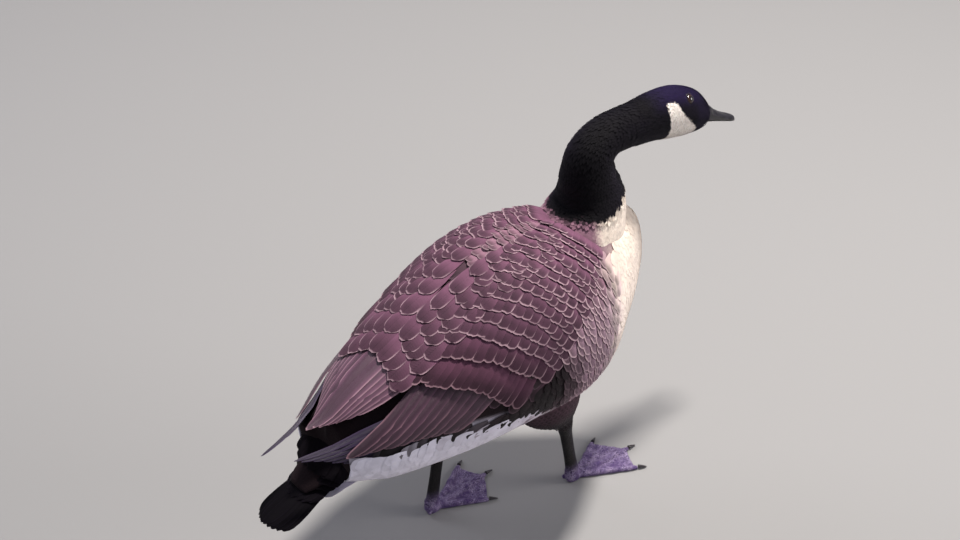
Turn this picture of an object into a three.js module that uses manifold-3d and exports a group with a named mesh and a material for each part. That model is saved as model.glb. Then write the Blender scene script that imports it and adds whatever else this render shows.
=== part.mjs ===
// Canada goose standing on both feet, neck raised and bent forward, head low in front, tail down.
// Millimetres. +X points to the bill, +Y to the bird's left, +Z up, and the origin is on the floor,
// midway along the bird. Stations along the bird are measured from a point above the hips.

import * as THREE from 'three';
import { mergeVertices } from 'three/addons/utils/BufferGeometryUtils.js';
import Module from 'manifold-3d';

const wasm = await Module();
wasm.setup();

// Driving dimensions
const hipsToMiddle = 32; // from the hips' station to the middle of the whole length
const gap = 0.3; // between one part and the next
const bodyStations = [ // station, half width, back, belly
  [-222, 47, 247, 172],
  [-190, 63, 270, 161],
  [-164, 74, 286, 154],
  [-84, 96, 329, 147],
  [-4, 107, 361, 145],
  [66, 107, 364, 144],
  [126, 84, 352, 150],
  [167, 57, 341, 167],
  [196, 37, 332, 187],
  [213, 24, 321, 207],
  [224, 14, 299, 225],
  [228, 3, 265, 241],
];
const bodyBluntness = 0.93; // 1 is an ellipse, less is squarer
const wingStations = [ // station, half width, back, belly: the body's own as far as the rump, then the wing tips
  [-300, 20, 234, 196],
  [-262, 33, 238, 180],
  ...bodyStations.slice(0, 7),
];
const wingEdges = [ // station, upper edge and lower edge in degrees from the back, depth below the body's outline
  [-300, -3, 72, 12],
  [-262, -3, 76, 18],
  [-222, -3, 81, 19],
  [-164, -3, 86, 15],
  [-109, -3, 92, 12],
  [-62, -3, 99, 10],
  [-34, -3, 102, 9],
  [-2, -3, 99, 9],
  [23, 2, 91, 9],
  [52, 9, 75, 8.5],
  [90, 21, 57, 8],
  [116, 31, 40, 7],
];
const wingFace = { back: 4, shoulder: 0.8, from: 44, to: 88 }; // depth of the wing's own skin, and where it rises
const wingCoreEnd = -236;
const vaneThickness = 0.8;
const vaneRolls = { long: 2.2, short: 1.7 }; // how far one edge stands above the middle, so neighbours lie in order
const longShape = [[0, 0.5], [0.3, 0.84], [0.66, 1], [0.9, 0.74], [1, 0.26]]; // share of length, share of width
const shortShape = [[0, 0.6], [0.5, 1], [0.86, 0.8], [1, 0.3]];
const ridgeHeight = 0.7;
const rightPrimariesCut = 20; // the right wing's folded tip lies further forward than the left one's
const wingTiers = [ // first and last feather: root station and degrees, tip station and degrees
  { kind: 'primary', count: 4, first: [-118, 82, -248, 76], last: [-138, 60, -286, 40], widths: [17, 15], lifts: [-9.5, -7] },
  { kind: 'secondary', count: 7, first: [-46, 76, -116, 91], last: [-136, 40, -222, 64], widths: [20, 22], lifts: [-5.5, -2.4] },
  { kind: 'greater covert', count: 7, first: [-8, 74, -48, 92], last: [-94, 20, -150, 33], widths: [21, 23], lifts: [-5.5, -0.9] },
  { kind: 'median covert', count: 6, first: [26, 66, -10, 85], last: [-58, 18, -110, 32], widths: [22, 25], lifts: [-5.5, -0.2] },
  { kind: 'lesser covert', count: 5, first: [52, 60, 20, 77], last: [-18, 18, -68, 30], widths: [22, 25], lifts: [-5.5, 0.2] },
  { kind: 'lesser covert', count: 4, first: [76, 52, 49, 67], last: [24, 16, -24, 27], widths: [20, 25], lifts: [-5.5, 0.3] },
  { kind: 'tertial', count: 4, first: [-106, 30, -208, 22], last: [-112, 8, -236, 5], widths: [21, 23], lifts: [-5.5, -0.8] },
  { kind: 'scapular', count: 2, first: [-96, 21, -150, 19], last: [-90, 8, -142, 7], widths: [28, 28], lifts: [-5.5, 0.4] },
  { kind: 'scapular', count: 3, first: [-54, 28, -106, 28], last: [-46, 7, -98, 6], widths: [28, 28], lifts: [-5.5, 0.6] },
  { kind: 'scapular', count: 3, first: [-12, 27, -62, 27], last: [-4, 7, -54, 6], widths: [28, 28], lifts: [-5.5, 0.8] },
  { kind: 'scapular', count: 2, first: [28, 20, -20, 21], last: [34, 9, -12, 8], widths: [26, 28], lifts: [-4.5, 0.9] },
];
const longKinds = ['primary', 'secondary', 'tertial'];

const neckStations = [ // x, y, z, half width, back radius, throat radius
  [96, 0, 288, 60, 52, 78],
  [126, 0, 326, 48, 42, 68],
  [142, 0, 357, 38, 34, 48],
  [144, 0, 392, 30.5, 30.5, 31],
  [150, 0, 417, 27, 27, 27],
  [168, 0, 431, 23.5, 24, 24],
  [196, 0, 432, 23, 24, 24],
  [222, 0, 430, 23.5, 26, 26.5],
];
const headStations = [
  [213, 0, 430.5, 23, 25, 26],
  [238, -0.5, 429, 23.5, 29, 28.5],
  [262, -1, 424, 24, 32, 30],
  [286, -2, 415, 22, 30, 27],
  [304, -2.5, 406, 17.5, 23, 21],
  [316, -3, 400, 13, 15, 15],
  [322, -3, 396.5, 9, 9, 9],
];
const billStations = [
  [306, -2.6, 406, 10, 15, 9],
  [318, -3, 400.5, 12, 12.5, 8.5],
  [332, -3.5, 393.5, 11, 7.5, 6.2],
  [346, -4, 386.5, 9.6, 4.8, 4.8],
  [358, -4.4, 380.5, 8.6, 3.8, 3.8],
  [364, -4.6, 377.5, 6, 3, 3],
  [367, -4.8, 376, 2, 1, 1],
];
const billSplit = { gape: [304, -2.6, 402.6], tip: [368, -4.8, 375] }; // the line of the mouth
const nostril = { along: 0.36, height: 4, length: 9, width: 3.2, depth: 1.6 };
const eye = { at: [282, 10.8, 438.5], radius: 6.6, lidOut: 2.6, lidRadius: 6.6, lidTube: 1.5 };
const headTurn = -1.8; // the eyes' middle plane, to the bird's right

const tail = {
  root: [-196, 0, 189], tip: [-306, -5, 152], rootSpread: 13, tipSpread: 19, feathers: 7, width: 21, layer: 1.6, arc: 9,
};
const tailCoverts = {
  root: [-206, 0, 200], tip: [-266, -2, 180], rootSpread: 12, tipSpread: 18, feathers: 5, width: 19, layer: 1.6, arc: 8,
};
const legs = {
  right: {
    side: -1, heel: [108, -41], hock: [82, -45, 99], knee: [46, -52, 168], yaw: -3,
  },
  left: {
    side: 1, heel: [-51, 23], hock: [-34, 36, 97], knee: [0, 50, 168], yaw: 5,
  },
};
const ankleHeight = 15;
const toes = [ // length, angle outwards from the middle toe, width at the root
  { name: 'inner', length: 62, angle: -33, width: 9 },
  { name: 'middle', length: 80, angle: 0, width: 10 },
  { name: 'outer', length: 75, angle: 26, width: 9 },
];
const toeHeight = 8;
const webThickness = 2.4;
const webReach = 0.88; // how far out the web's edge lies between two toes
const clawLength = 11;
const rearToe = { length: 15, rise: 9, width: 6.5 };

const rad = THREE.MathUtils.degToRad;
const random = (() => {
  let seed = 20417;
  return () => {
    seed = (seed * 48271) % 2147483647;
    return seed / 2147483647;
  };
})();
const vary = (value, share) => value * (1 + share * (random() * 2 - 1));
const mix = (a, b, t) => a + (b - a) * t;
const mixRow = (a, b, t) => a.map((value, k) => mix(value, b[k], t));

// One smooth curve through rows of numbers, read at t from 0 to 1
function rowsAt(rows, t) {
  const place = Math.min(Math.max(t, 0), 1) * (rows.length - 1);
  const i = Math.min(Math.floor(place), rows.length - 2);
  const u = place - i;
  const before = rows[i - 1] ?? mixRow(rows[i + 1], rows[i], 2);
  const after = rows[i + 2] ?? mixRow(rows[i], rows[i + 1], 2);
  return rows[i].map((p1, k) => {
    const [p0, p2, p3] = [before[k], rows[i + 1][k], after[k]];
    return 0.5 * (2 * p1 + (p2 - p0) * u + (2 * p0 - 5 * p1 + 4 * p2 - p3) * u ** 2
      + (3 * p1 - p0 - 3 * p2 + p3) * u ** 3);
  });
}

// The same rows read by their first column, the station
function rowsAtStation(rows, station) {
  let low = 0;
  let high = 1;
  const rising = rows[0][0] < rows[rows.length - 1][0];
  for (let step = 0; step < 40; step += 1) {
    const middle = (low + high) / 2;
    if ((rowsAt(rows, middle)[0] < station) === rising) low = middle;
    else high = middle;
  }
  return rowsAt(rows, (low + high) / 2);
}

// A closed mesh from points and triangles, with its faces turned outwards
function solid(points, triangles) {
  const geometry = new THREE.BufferGeometry();
  geometry.setAttribute('position', new THREE.Float32BufferAttribute(points.flatMap((p) => [p.x, p.y, p.z]), 3));
  let volume = 0;
  for (const [a, b, c] of triangles) {
    volume += points[a].dot(new THREE.Vector3().crossVectors(points[b], points[c]));
  }
  const turned = volume < 0 ? triangles.map(([a, b, c]) => [a, c, b]) : triangles;
  geometry.setIndex(turned.flat());
  return toManifold(geometry);
}

function toManifold(geometry) {
  const bare = geometry.clone();
  bare.deleteAttribute('normal');
  bare.deleteAttribute('uv');
  const merged = mergeVertices(bare, 1e-4);
  return new wasm.Manifold(new wasm.Mesh({
    numProp: 3,
    vertProperties: new Float32Array(merged.attributes.position.array),
    triVerts: new Uint32Array(merged.index.array),
  }));
}

// The skin through a row of rings with equal counts, closed at both ends by rungs across each ring
function loft(rings) {
  const count = rings[0].length;
  const triangles = [];
  for (let i = 0; i < rings.length - 1; i += 1) {
    for (let j = 0; j < count; j += 1) {
      const a = i * count + j;
      const b = i * count + (j + 1) % count;
      triangles.push([a, b, b + count], [a, b + count, a + count]);
    }
  }
  for (const [start, turn] of [[0, 1], [(rings.length - 1) * count, -1]]) {
    for (let j = 0; j < count / 2 - 1; j += 1) {
      const [a, b, c, d] = [j, j + 1, count - 2 - j, count - 1 - j].map((k) => start + k);
      const pair = [[a, c, b], [a, d, c]];
      triangles.push(...(turn > 0 ? pair : pair.map(([p, q, r]) => [p, r, q])));
    }
  }
  return solid(rings.flat(), triangles.filter(([a, b, c]) => a !== b && b !== c && a !== c));
}

// A closed thin plate from two alike grids of points, split into triangles alike on both faces
function plate(front, back) {
  const rows = front.length;
  const columns = front[0].length;
  const under = rows * columns;
  const triangles = [];
  for (let i = 0; i < rows - 1; i += 1) {
    for (let j = 0; j < columns - 1; j += 1) {
      const a = i * columns + j;
      const [b, c, d] = [a + 1, a + 1 + columns, a + columns];
      triangles.push([a, b, c], [a, c, d], [a + under, c + under, b + under], [a + under, d + under, c + under]);
    }
  }
  const rim = [];
  for (let j = 0; j < columns - 1; j += 1) rim.push(j);
  for (let i = 0; i < rows - 1; i += 1) rim.push(i * columns + columns - 1);
  for (let j = columns - 1; j > 0; j -= 1) rim.push((rows - 1) * columns + j);
  for (let i = rows - 1; i > 0; i -= 1) rim.push(i * columns);
  rim.forEach((p, k) => {
    const q = rim[(k + 1) % rim.length];
    triangles.push([q, p, p + under], [q, p + under, q + under]);
  });
  return solid([...front.flat(), ...back.flat()], triangles);
}

// One feather as a vane: place(t) gives a point of its shaft and the way out of the skin there
function vane(place, shape, width, roll, ridged) {
  const columns = ridged ? [-1, 0, 1] : [-1, 1];
  const front = [];
  const back = [];
  for (const [t, share] of shape) {
    const { at, out } = place(t);
    const along = place(Math.min(t + 0.02, 1)).at.clone().sub(place(Math.max(t - 0.02, 0)).at).normalize();
    const across = new THREE.Vector3().crossVectors(along, out).normalize();
    const up = new THREE.Vector3().crossVectors(across, along).normalize();
    const point = (column, lift) => at.clone()
      .addScaledVector(across, column * share * width / 2)
      .addScaledVector(up, lift + column * roll * share + (column === 0 ? ridgeHeight : 0));
    front.push(columns.map((column) => point(column, vaneThickness / 2)));
    back.push(columns.map((column) => point(column, -vaneThickness / 2)));
  }
  return plate(front, back);
}

// Rings round a spine: each row is x, y, z, half width, upper radius, lower radius
function spineLoft(rows, ringCount, sides, grow = 0) {
  const rings = [];
  for (let i = 0; i < ringCount; i += 1) {
    const t = i / (ringCount - 1);
    const [x, y, z, half, upper, lower] = rowsAt(rows, t);
    const ahead = rowsAt(rows, Math.min(t + 0.01, 1));
    const behind = rowsAt(rows, Math.max(t - 0.01, 0));
    const along = new THREE.Vector3(ahead[0] - behind[0], ahead[1] - behind[1], ahead[2] - behind[2]).normalize();
    const left = new THREE.Vector3(0, 1, 0).addScaledVector(along, -along.y).normalize();
    const up = new THREE.Vector3().crossVectors(along, left);
    rings.push(Array.from({ length: sides }, (_, j) => {
      const angle = ((j + 0.5) / sides) * 2 * Math.PI;
      const reach = Math.cos(angle) > 0 ? upper : lower;
      return new THREE.Vector3(x, y, z)
        .addScaledVector(left, Math.sin(angle) * (half + grow))
        .addScaledVector(up, Math.cos(angle) * (reach + grow));
    }));
  }
  return loft(rings);
}

// A point on the body's outline: station, degrees from the back, lift off the outline, side of the bird
function outlinePoint(rows, station, degrees, lift, side) {
  const [, half, back, belly] = rowsAtStation(rows, station);
  const middle = (back + belly) / 2 - 0.06 * (back - belly);
  const sine = Math.sin(rad(degrees));
  const cosine = Math.cos(rad(degrees));
  const reach = (cosine > 0 ? back - middle : middle - belly) + lift;
  return new THREE.Vector3(
    station,
    side * Math.sign(sine) * Math.abs(sine) ** bodyBluntness * (half + lift),
    middle + Math.sign(cosine) * Math.abs(cosine) ** bodyBluntness * reach,
  );
}

// The bed that one folded wing lies in, cut out of the body
function wingBed(side, inset) {
  const count = 18;
  const steps = 8;
  const first = wingEdges[0][0];
  const last = wingEdges[wingEdges.length - 1][0] - inset;
  const rings = [];
  for (let i = 0; i < count; i += 1) {
    const station = mix(first, last, i / (count - 1));
    const [, upper, lower, depth] = rowsAtStation(wingEdges, station);
    const inward = inset / 1.7;
    const angles = Array.from({ length: steps }, (_, j) => mix(upper + inward, lower - inward, j / (steps - 1)));
    const outside = angles.map((angle) => outlinePoint(wingStations, station, angle, 25, side));
    const inside = angles.map((angle) => outlinePoint(wingStations, station, angle, inset - depth, side));
    rings.push([...outside, ...inside.reverse()]);
  }
  return loft(rings);
}

function bodyWhole(grow) {
  const count = 22;
  const sides = 22;
  const rings = [];
  for (let i = 0; i < count; i += 1) {
    const row = rowsAt(bodyStations, i / (count - 1));
    const station = row[0] + (i === 0 ? -grow : 0) + (i === count - 1 ? grow : 0);
    rings.push(Array.from({ length: sides }, (_, j) => {
      const angle = ((j + 0.5) / sides) * 360;
      const point = outlinePoint(bodyStations, row[0], angle, grow, 1);
      point.x = station;
      return point;
    }));
  }
  return loft(rings);
}

// The torso, with a bed for each wing; grown, it is what its neighbours are cut back by
function torsoSolid(grow) {
  return bodyWhole(grow).subtract(wingBed(1, grow)).subtract(wingBed(-1, grow));
}

// The wing's own thickness under its feathers
function wingCore(side) {
  const count = 15;
  const steps = 9;
  const last = wingEdges[wingEdges.length - 1][0] - 4;
  const rings = [];
  for (let i = 0; i < count; i += 1) {
    const station = mix(wingCoreEnd, last, i / (count - 1));
    const [, upper, lower, depth] = rowsAtStation(wingEdges, station);
    const trim = 5 + 22 * Math.max(0, 1 - (station - wingCoreEnd) / 45) ** 2;
    const angles = Array.from({ length: steps }, (_, j) => mix(upper, lower - trim, j / (steps - 1)));
    const rise = THREE.MathUtils.smoothstep(station, wingFace.from, wingFace.to);
    const face = mix(wingFace.back, wingFace.shoulder, rise);
    const outside = angles.map((angle) => outlinePoint(wingStations, station, angle, -face, side));
    const inside = angles.map((angle) => outlinePoint(wingStations, station, angle, -depth - 1, side));
    rings.push([...outside, ...inside.reverse()]);
  }
  return loft(rings);
}

// One tier of the folded wing's feathers, each over the next one down
function wingTier(side, tier) {
  const long = longKinds.includes(tier.kind);
  const cut = tier.kind === 'primary' && side < 0 ? rightPrimariesCut : 0;
  return Array.from({ length: tier.count }, (_, k) => {
    const share = k / (tier.count - 1);
    const [rootStation, rootDegrees, tipStation, tipDegrees] = mixRow(tier.first, tier.last, share);
    const place = (t) => {
      const station = mix(rootStation, tipStation + cut, t);
      const degrees = mix(rootDegrees, tipDegrees, t);
      const lift = mix(...tier.lifts, t);
      const at = outlinePoint(wingStations, station, degrees, lift, side);
      return { at, out: outlinePoint(wingStations, station, degrees, lift + 1, side).sub(at) };
    };
    const width = vary(mix(...tier.widths, share), 0.03);
    return vane(place, long ? longShape : shortShape, width, side * vaneRolls[long ? 'long' : 'short'], false);
  });
}

function wingSolid(side, torsoGrown) {
  const vanes = wingTiers.flatMap((tier) => wingTier(side, tier));
  const whole = wasm.Manifold.union([wingCore(side), ...vanes]);
  return largestPiece(whole.subtract(torsoGrown).intersect(sideOf(side)));
}

// Everything on one side of the middle plane of the body, clear of it by the gap
function sideOf(side) {
  const box = new THREE.BoxGeometry(900, 400, 700);
  box.translate(0, side * (200 + gap / 2), 350);
  return toManifold(box);
}

function largestPiece(shape) {
  const pieces = shape.decompose();
  return pieces.reduce((best, piece) => (piece.volume() > best.volume() ? piece : best));
}

// A closed fan of feathers, the middle one on top
function fanOf(fan) {
  return Array.from({ length: fan.feathers }, (_, k) => {
    const share = (k / (fan.feathers - 1)) * 2 - 1;
    const steps = Math.abs(k - (fan.feathers - 1) / 2);
    const root = new THREE.Vector3(fan.root[0], fan.root[1] + share * fan.rootSpread, fan.root[2] - steps * fan.layer);
    const tip = new THREE.Vector3(
      fan.tip[0] + share ** 2 * fan.arc,
      fan.tip[1] + share * fan.tipSpread,
      fan.tip[2] - steps * fan.layer,
    );
    const place = (t) => ({ at: root.clone().lerp(tip, t), out: new THREE.Vector3(0, 0, 1) });
    return vane(place, longShape, vary(fan.width, 0.04), Math.sign(share) * 0.6, true);
  });
}

function tailCore() {
  const rows = [
    [-200, 0, 192, 30, 15, 24],
    [-222, 0, 186, 28, 11, 15],
    [-244, 0, 178, 24, 7, 9],
    [-262, 0, 171, 16, 3, 4],
  ];
  return spineLoft(rows, 7, 14);
}

// Neck, head and bill
function cutPlane(at, normal, reach) {
  const box = new THREE.BoxGeometry(reach, reach, reach);
  box.translate(0, 0, reach / 2);
  box.applyQuaternion(new THREE.Quaternion().setFromUnitVectors(new THREE.Vector3(0, 0, 1), normal));
  box.translate(at.x, at.y, at.z);
  return toManifold(box);
}

const neckBend = { at: new THREE.Vector3(153, 0, 421), along: new THREE.Vector3(0.62, 0, 0.78).normalize() };
const neckTop = { at: new THREE.Vector3(218, 0, 430), along: new THREE.Vector3(1, 0, -0.06).normalize() };

// What lies beyond a parting, or with -1 before it, from the given distance along its normal
function partedAt(parting, way, distance = 0) {
  const at = parting.at.clone().addScaledVector(parting.along, distance);
  return cutPlane(at, parting.along.clone().multiplyScalar(way), 300);
}

function neckSolid(upper) {
  const whole = spineLoft(neckStations, 14, 18).subtract(partedAt(neckTop, 1, -gap));
  if (upper) return largestPiece(whole.subtract(partedAt(neckBend, -1)));
  return largestPiece(whole.subtract(torsoSolid(gap)).subtract(partedAt(neckBend, 1, -gap)));
}

function eyeBall(side, grow) {
  const ball = new THREE.SphereGeometry(eye.radius + grow, 12, 8);
  ball.translate(eye.at[0], side * eye.at[1] + headTurn, eye.at[2]);
  return toManifold(ball);
}

// A lid is a ring standing proud of the head round the eye
function lidRing(side) {
  const ring = new THREE.TorusGeometry(eye.lidRadius, eye.lidTube, 5, 14);
  const outwards = new THREE.Vector3(0.2, side * 0.8, 0.55).normalize();
  ring.applyQuaternion(new THREE.Quaternion().setFromUnitVectors(new THREE.Vector3(0, 0, 1), outwards));
  const centre = new THREE.Vector3(eye.at[0], side * eye.at[1] + headTurn, eye.at[2]);
  centre.addScaledVector(outwards, eye.lidOut);
  ring.translate(centre.x, centre.y, centre.z);
  return toManifold(ring);
}

function headWhole(grow) {
  return spineLoft(headStations, 12, 18, grow);
}

function headSolid() {
  let shape = headWhole(0);
  for (const side of [1, -1]) shape = shape.add(lidRing(side));
  for (const side of [1, -1]) shape = shape.subtract(eyeBall(side, gap));
  return largestPiece(shape.subtract(partedAt(neckTop, -1)));
}

// The bill is parted along the line of the mouth
function billSide(upper) {
  const [gape, tip] = [new THREE.Vector3(...billSplit.gape), new THREE.Vector3(...billSplit.tip)];
  const along = tip.clone().sub(gape).normalize();
  const normal = new THREE.Vector3(-along.z, 0, along.x).normalize();
  if (!upper) normal.negate();
  return cutPlane(gape.clone().addScaledVector(normal, gap / 2), normal, 260);
}

function nostrilCut() {
  const slot = new THREE.SphereGeometry(1, 8, 6);
  slot.scale(nostril.length / 2, 40, nostril.width / 2);
  slot.rotateY(rad(26));
  const at = rowsAt(billStations, nostril.along);
  slot.translate(at[0], at[1], at[2] + nostril.height);
  return toManifold(slot);
}

function nostrilCore() {
  const rows = billStations.map((row) => [row[0], row[1], row[2], row[3] - nostril.depth, row[4] - 1, row[5] - 1]);
  return spineLoft(rows.slice(0, 5), 5, 8);
}

function billSolid(upper) {
  const whole = spineLoft(billStations, 11, 16);
  const shape = whole.intersect(billSide(upper)).subtract(headWhole(gap));
  const cut = upper ? shape.subtract(nostrilCut().subtract(nostrilCore())) : shape;
  return largestPiece(cut);
}

// Legs and feet
function thighWhole(leg, grow) {
  const [hock, knee] = [leg.hock, leg.knee];
  const rows = [
    [...mixRow(knee, hock, -0.5), 28, 32, 32],
    [...knee, 39, 44, 44],
    [...mixRow(knee, hock, 0.4), 31, 35, 35],
    [...mixRow(knee, hock, 0.72), 18, 21, 21],
    [...mixRow(knee, hock, 0.95), 10, 12, 12],
    [...mixRow(knee, hock, 1.03), 7, 8, 8],
  ];
  return spineLoft(rows, 10, 14, grow);
}

function shankWhole(leg, grow) {
  const ankle = [leg.heel[0] - 8, leg.heel[1], ankleHeight];
  const rows = [
    [...mixRow(leg.hock, leg.knee, 0.16), 6, 7, 7],
    [...leg.hock, 8, 10, 10],
    [...mixRow(leg.hock, ankle, 0.18), 6.2, 8.2, 8.2],
    [...mixRow(leg.hock, ankle, 0.55), 5.2, 7.8, 7.8],
    [...mixRow(leg.hock, ankle, 0.88), 5.8, 8.4, 8.4],
    [...ankle, 6.6, 9, 9],
  ];
  return spineLoft(rows, 10, 10, grow);
}

function floorPoint(leg, length, angle) {
  const turn = rad(leg.yaw + leg.side * angle);
  return [leg.heel[0] + Math.cos(turn) * length, leg.heel[1] + Math.sin(turn) * length];
}

// A bar of four-sided sections lying on the floor, from rows of x, y, half width, underside and top
function bar(rows) {
  const rings = rows.map(([x, y, half, low, high], i) => {
    const next = rows[Math.min(i + 1, rows.length - 1)];
    const last = rows[Math.max(i - 1, 0)];
    const along = new THREE.Vector2(next[0] - last[0], next[1] - last[1]).normalize();
    const at = (across, z) => new THREE.Vector3(x - along.y * across * half, y + along.x * across * half, z);
    return [at(-1, low), at(-1, mix(low, high, 0.6)), at(-0.45, high), at(0.45, high), at(1, mix(low, high, 0.6)), at(1, low)];
  });
  return loft(rings);
}

function toeBar(leg, toe) {
  const rows = [0, 0.3, 0.62, 0.88, 1].map((t, i) => {
    const knuckle = i % 2 ? 1.12 : 1;
    const half = mix(toe.width, 6, t) / 2 * knuckle;
    return [...floorPoint(leg, toe.length * t, toe.angle), half, 0, mix(toeHeight, 5.2, t) * knuckle];
  });
  return bar(rows);
}

// The web is one plate through the toes, its front edge drawn in between them
function webPlate(leg) {
  const rim = [];
  toes.forEach((toe, i) => {
    rim.push(floorPoint(leg, toe.length * 0.94, toe.angle));
    if (i < toes.length - 1) {
      const next = toes[i + 1];
      rim.push(floorPoint(leg, (toe.length + next.length) / 2 * webReach, (toe.angle + next.angle) / 2));
    }
  });
  const shape = new THREE.Shape([floorPoint(leg, -2, 0), ...rim].map(([x, y]) => new THREE.Vector2(x, y)));
  return toManifold(new THREE.ExtrudeGeometry(shape, { depth: webThickness, bevelEnabled: false }));
}

function ankleKnob(leg, grow) {
  const [x, y] = [leg.heel[0] - 6, leg.heel[1]];
  const rows = [
    [x - 3, y, ankleHeight + 8, 6.8, 9.4, 9.4],
    [x - 2, y, 9, 7.4, 10, 10],
    [x + 1, y, 4, 7, 11, 9],
    [x + 2, y, 0, 6, 9, 8],
  ];
  return spineLoft(rows, 6, 12, grow);
}

function hindToe(leg) {
  const back = floorPoint(leg, -rearToe.length - 5, 14);
  const root = floorPoint(leg, -3, 0);
  const rows = [
    [...root, rearToe.rise + 3, rearToe.width / 2, 4, 4],
    [...mixRow(root, back, 0.5), rearToe.rise, rearToe.width / 2, 3.2, 3.2],
    [...back, rearToe.rise - 4, rearToe.width / 2 - 1, 2.4, 2.4],
  ];
  return spineLoft(rows, 4, 8);
}

function footSolid(leg) {
  let shape = webPlate(leg).add(ankleKnob(leg, 0)).add(hindToe(leg));
  for (const toe of toes) shape = shape.add(toeBar(leg, toe));
  const [x, y] = leg.heel;
  const above = cutPlane(new THREE.Vector3(x, y, ankleHeight), new THREE.Vector3(0, 0, 1), 150);
  const below = cutPlane(new THREE.Vector3(x, y, 0), new THREE.Vector3(0, 0, -1), 300);
  return largestPiece(shape.subtract(above).subtract(below));
}

function shankSolid(leg) {
  const at = new THREE.Vector3(leg.heel[0], leg.heel[1], ankleHeight + gap);
  const below = cutPlane(at, new THREE.Vector3(0, 0, -1), 150);
  return largestPiece(shankWhole(leg, 0).subtract(below));
}

function thighSolid(leg) {
  return largestPiece(thighWhole(leg, 0).subtract(torsoSolid(gap)).subtract(shankWhole(leg, gap)));
}

function clawSolid(leg, toe) {
  const reach = toe.length + gap;
  const rows = [0, 0.5, 1].map((t) => {
    const low = mix(1, 0.5, t);
    return [...floorPoint(leg, reach + clawLength * t, toe.angle), mix(2.4, 0.6, t), low, low + mix(3.6, 0.9, t ** 1.4)];
  });
  return bar(rows);
}

// Colours and finishes
const finish = (color, roughness) => new THREE.MeshStandardMaterial({ color, roughness, metalness: 0 });

const goose = new THREE.Group();
goose.position.x = -hipsToMiddle;

function addPart(name, shape, material) {
  const mesh = shape.getMesh();
  const geometry = new THREE.BufferGeometry();
  geometry.setAttribute('position', new THREE.Float32BufferAttribute(mesh.vertProperties, 3));
  geometry.setIndex(Array.from(mesh.triVerts));
  geometry.computeVertexNormals();
  const part = new THREE.Mesh(geometry, material);
  part.name = name;
  goose.add(part);
}

const torsoGrown = torsoSolid(gap);
addPart('torso', largestPiece(torsoSolid(0)), finish('#c9b2a6', 0.9));
const tailWhole = wasm.Manifold.union([tailCore(), ...fanOf(tail), ...fanOf(tailCoverts)]);
addPart('tail', largestPiece(tailWhole.subtract(torsoGrown)), finish('#1a1418', 0.7));
addPart('neck_lower', neckSolid(false), finish('#141016', 0.75));
addPart('neck_upper', neckSolid(true), finish('#141016', 0.75));
addPart('head', headSolid(), finish('#141016', 0.75));
addPart('bill_upper', billSolid(true), finish('#121014', 0.35));
addPart('bill_lower', billSolid(false), finish('#121014', 0.35));
for (const [name, side] of [['left', 1], ['right', -1]]) {
  const leg = legs[name];
  addPart(`eye_${name}`, eyeBall(side, 0), finish('#1c100a', 0.05));
  addPart(`wing_${name}`, wingSolid(side, torsoGrown), finish('#7a5560', 0.85));
  addPart(`thigh_${name}`, thighSolid(leg), finish('#8a7078', 0.9));
  addPart(`shank_${name}`, shankSolid(leg), finish('#4a3d5c', 0.5));
  addPart(`foot_${name}`, footSolid(leg), finish('#5d4a80', 0.5));
  for (const toe of toes) {
    addPart(`claw_${name}_${toe.name}`, clawSolid(leg, toe), finish('#17131a', 0.4));
  }
}

export default goose;
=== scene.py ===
# Looks of the standing Canada goose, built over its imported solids. Tables are in millimetres, stations are
# measured from above the hips as in the solids, and meshes are written in metres.

from functools import partial

import bpy
import numpy as np
from mathutils import Matrix, Vector


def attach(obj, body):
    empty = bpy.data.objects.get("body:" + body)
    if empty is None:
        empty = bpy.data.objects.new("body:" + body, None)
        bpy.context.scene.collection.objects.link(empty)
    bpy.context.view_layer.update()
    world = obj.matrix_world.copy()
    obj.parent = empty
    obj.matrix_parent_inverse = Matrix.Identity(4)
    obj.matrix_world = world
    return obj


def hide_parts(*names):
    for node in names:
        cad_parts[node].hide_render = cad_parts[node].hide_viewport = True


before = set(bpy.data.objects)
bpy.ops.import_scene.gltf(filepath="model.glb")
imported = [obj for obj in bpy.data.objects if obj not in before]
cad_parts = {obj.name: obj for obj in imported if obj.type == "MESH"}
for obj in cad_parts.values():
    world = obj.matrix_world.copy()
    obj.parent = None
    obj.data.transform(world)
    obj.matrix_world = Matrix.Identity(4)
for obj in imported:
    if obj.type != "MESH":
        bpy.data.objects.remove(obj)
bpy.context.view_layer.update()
print("frame loaded")

hipsToMiddle = 32  # from the hips back to the middle of the frame
bluntness = 0.93  # 1 gives elliptic sections, less gives fuller ones
random = np.random.default_rng(11)

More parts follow.
